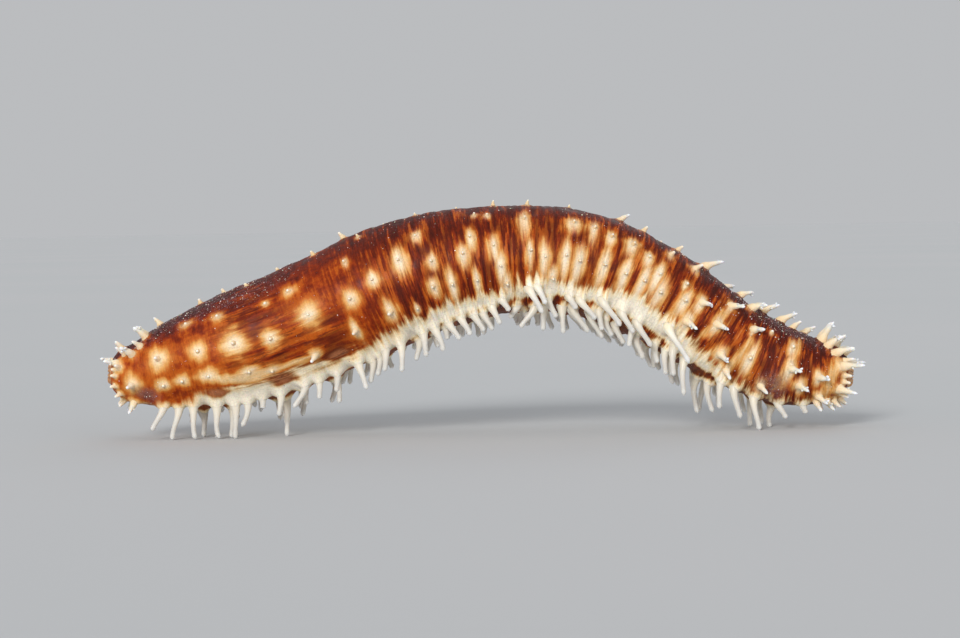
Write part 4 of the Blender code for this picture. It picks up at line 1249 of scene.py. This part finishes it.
tentacles = growth_piece(
    "tentacle_tips", tentacle_lines, tentacle_radii, np.cross(tentacle_out, mouth_forward),
    (np.full(TENTACLES, BODY_LENGTH), np.degrees(turn)), TENTACLE_SIDES,
    {"reach": way[..., 0], "valley_shade": np.zeros((1, 1))},
)
# They take the lips' finish, whose ramp of painted shade darkens them towards their tips
tentacles.data.materials.append(lip_material("tentacle_flesh", (206, 168, 112), (150, 104, 60)))
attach(tentacles, "root")


# Sediment grains
# Specks of pale sand and shell that cling to the slime of the back and of the mouth's end. They
# are joined into one mesh of small eight-sided crystals, sunk a little into the skin.
GRAIN_COUNT = 3000
GRAIN_SMALL = 0.06 * MM
GRAIN_LARGE = 0.2 * MM
GRAIN_LIFT = 0.02 * MM
GRAIN_SCATTER = 0.035
GRAIN_SEED = 14

draw = np.random.default_rng(GRAIN_SEED)
chance = np.clip(grit + GRAIN_SCATTER + 0.25 * fore * (1.0 - rise(from_back, 100.0, 140.0)), 0.0, 1.0)
chance = (chance * (1.0 - 0.6 * rise(pale, 0.3, 0.6)) * skin_girth).ravel()
picked = draw.choice(len(chance), GRAIN_COUNT, replace=False, p=chance / chance.sum())
grain_centres = skin_points.reshape(-1, 3)[picked] + skin_outward.reshape(-1, 3)[picked] * GRAIN_LIFT
grain_size = GRAIN_SMALL + (GRAIN_LARGE - GRAIN_SMALL) * draw.uniform(0.0, 1.0, GRAIN_COUNT) ** 3
crystal = np.array(((1, 0, 0), (0, 1, 0), (-1, 0, 0), (0, -1, 0), (0, 0, 1), (0, 0, -1)), float)
crystal_faces = np.array((
    (0, 1, 4), (1, 2, 4), (2, 3, 4), (3, 0, 4), (1, 0, 5), (2, 1, 5), (3, 2, 5), (0, 3, 5),
))
turning = np.linalg.qr(draw.normal(size=(GRAIN_COUNT, 3, 3)))[0]
turning[:, :, 0] *= np.sign(np.linalg.det(turning))[:, None]
uneven = draw.uniform(0.7, 1.25, (GRAIN_COUNT, 6, 1))
grain_points = np.einsum("nij,nkj->nki", turning, crystal[None] * uneven) * grain_size[:, None, None]
grain_points = grain_points + grain_centres[:, None]
grain_faces = crystal_faces[None] + 6 * np.arange(GRAIN_COUNT)[:, None, None]
grain_turns = np.mod(skin_turns.ravel()[picked] + 0.5, 1.0)
grain_root = np.stack((along.ravel()[picked] / BODY_LENGTH, grain_turns), -1)
grain_map = grain_root[:, None, None] * (1.0 - PATCH) + PATCH * np.broadcast_to(
    np.array(((0.0, 0.0), (1.0, 0.0), (0.5, 1.0))), (GRAIN_COUNT, 8, 3, 2)
)
grains = new_piece(
    "sediment_grains", grain_points.reshape(-1, 3), np.zeros((0, 4), int), grain_faces.reshape(-1, 3),
    np.zeros((0, 2)), grain_map, {"tone": np.repeat(draw.uniform(0.0, 1.0, GRAIN_COUNT), 6)},
)


def grain_material():
    """Clean sand: mostly clear white, some lilac or tan, with a hard glint."""
    material, tree, shader = new_material("sand_grain", {
        "Roughness": 0.12,
        "IOR": 1.54,
        "Subsurface Weight": 0.3,
        "Subsurface Scale": 0.1 * MM,
    })
    colour = ramp_of(share_of(tree, "tone"), (
        (0.0, 120, 92, 96), (0.35, 190, 172, 176), (0.6, 226, 206, 182),
        (1.0, 255, 252, 248),
    ))
    tree.links.new(colour, shader.inputs["Base Color"])
    return material


grains.data.materials.append(grain_material())
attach(grains, "root")


# The floor and the light
# A plain pale floor runs out of sight, under soft light from everywhere, with a broad key above
# the camera's left, a weak fill on its right and a weak one behind that draws the edges.
FLOOR_HALF = 30.0

floor_mesh = bpy.data.meshes.new("floor")
floor_mesh.from_pydata(
    [(-FLOOR_HALF, -FLOOR_HALF, 0.0), (FLOOR_HALF, -FLOOR_HALF, 0.0),
     (FLOOR_HALF, FLOOR_HALF, 0.0), (-FLOOR_HALF, FLOOR_HALF, 0.0)],
    [], [(0, 1, 2, 3)],
)
floor = bpy.data.objects.new("floor", floor_mesh)
bpy.context.scene.collection.objects.link(floor)
floor_finish, floor_tree, floor_shader = new_material("floor_paint", {"Roughness": 0.9})
floor_noise = noise_of(place_of(floor_tree), 2.0)
floor_shade = ramp_of(floor_noise, ((0.3, 193, 196, 198), (0.7, 197, 198, 200)))
floor_tree.links.new(floor_shade, floor_shader.inputs["Base Color"])
floor_mesh.materials.append(floor_finish)


def soft_sun(name, towards, strength, spread, colour):
    """A distant light of that angular spread in degrees, that shines from the given direction."""
    light = bpy.data.lights.new(name, "SUN")
    light.energy = strength
    light.angle = math.radians(spread)
    light.color = colour
    lamp = bpy.data.objects.new(name, light)
    away = unit(np.array(towards))
    beside = unit(np.cross(UP, away))
    lamp_place = np.eye(4)
    lamp_place[:3, 0], lamp_place[:3, 1], lamp_place[:3, 2] = beside, np.cross(away, beside), away
    lamp.matrix_world = Matrix(lamp_place.tolist())
    bpy.context.scene.collection.objects.link(lamp)


soft_sun("key_light", (-0.3, -0.9, 0.42), 2.3, 18.0, (1.0, 0.985, 0.96))
soft_sun("fill_light", (0.6, -0.8, 0.1), 0.5, 50.0, (1.0, 1.0, 1.0))
soft_sun("edge_light", (0.2, 0.8, 0.5), 0.18, 30.0, (1.0, 1.0, 1.0))

world = bpy.data.worlds.new("studio")
world.use_nodes = True
world.node_tree.nodes["Background"].inputs["Color"].default_value = srgb(250, 252, 255)
world.node_tree.nodes["Background"].inputs["Strength"].default_value = 0.52
bpy.context.scene.world = world
bpy.context.scene.view_settings.view_transform = "Standard"
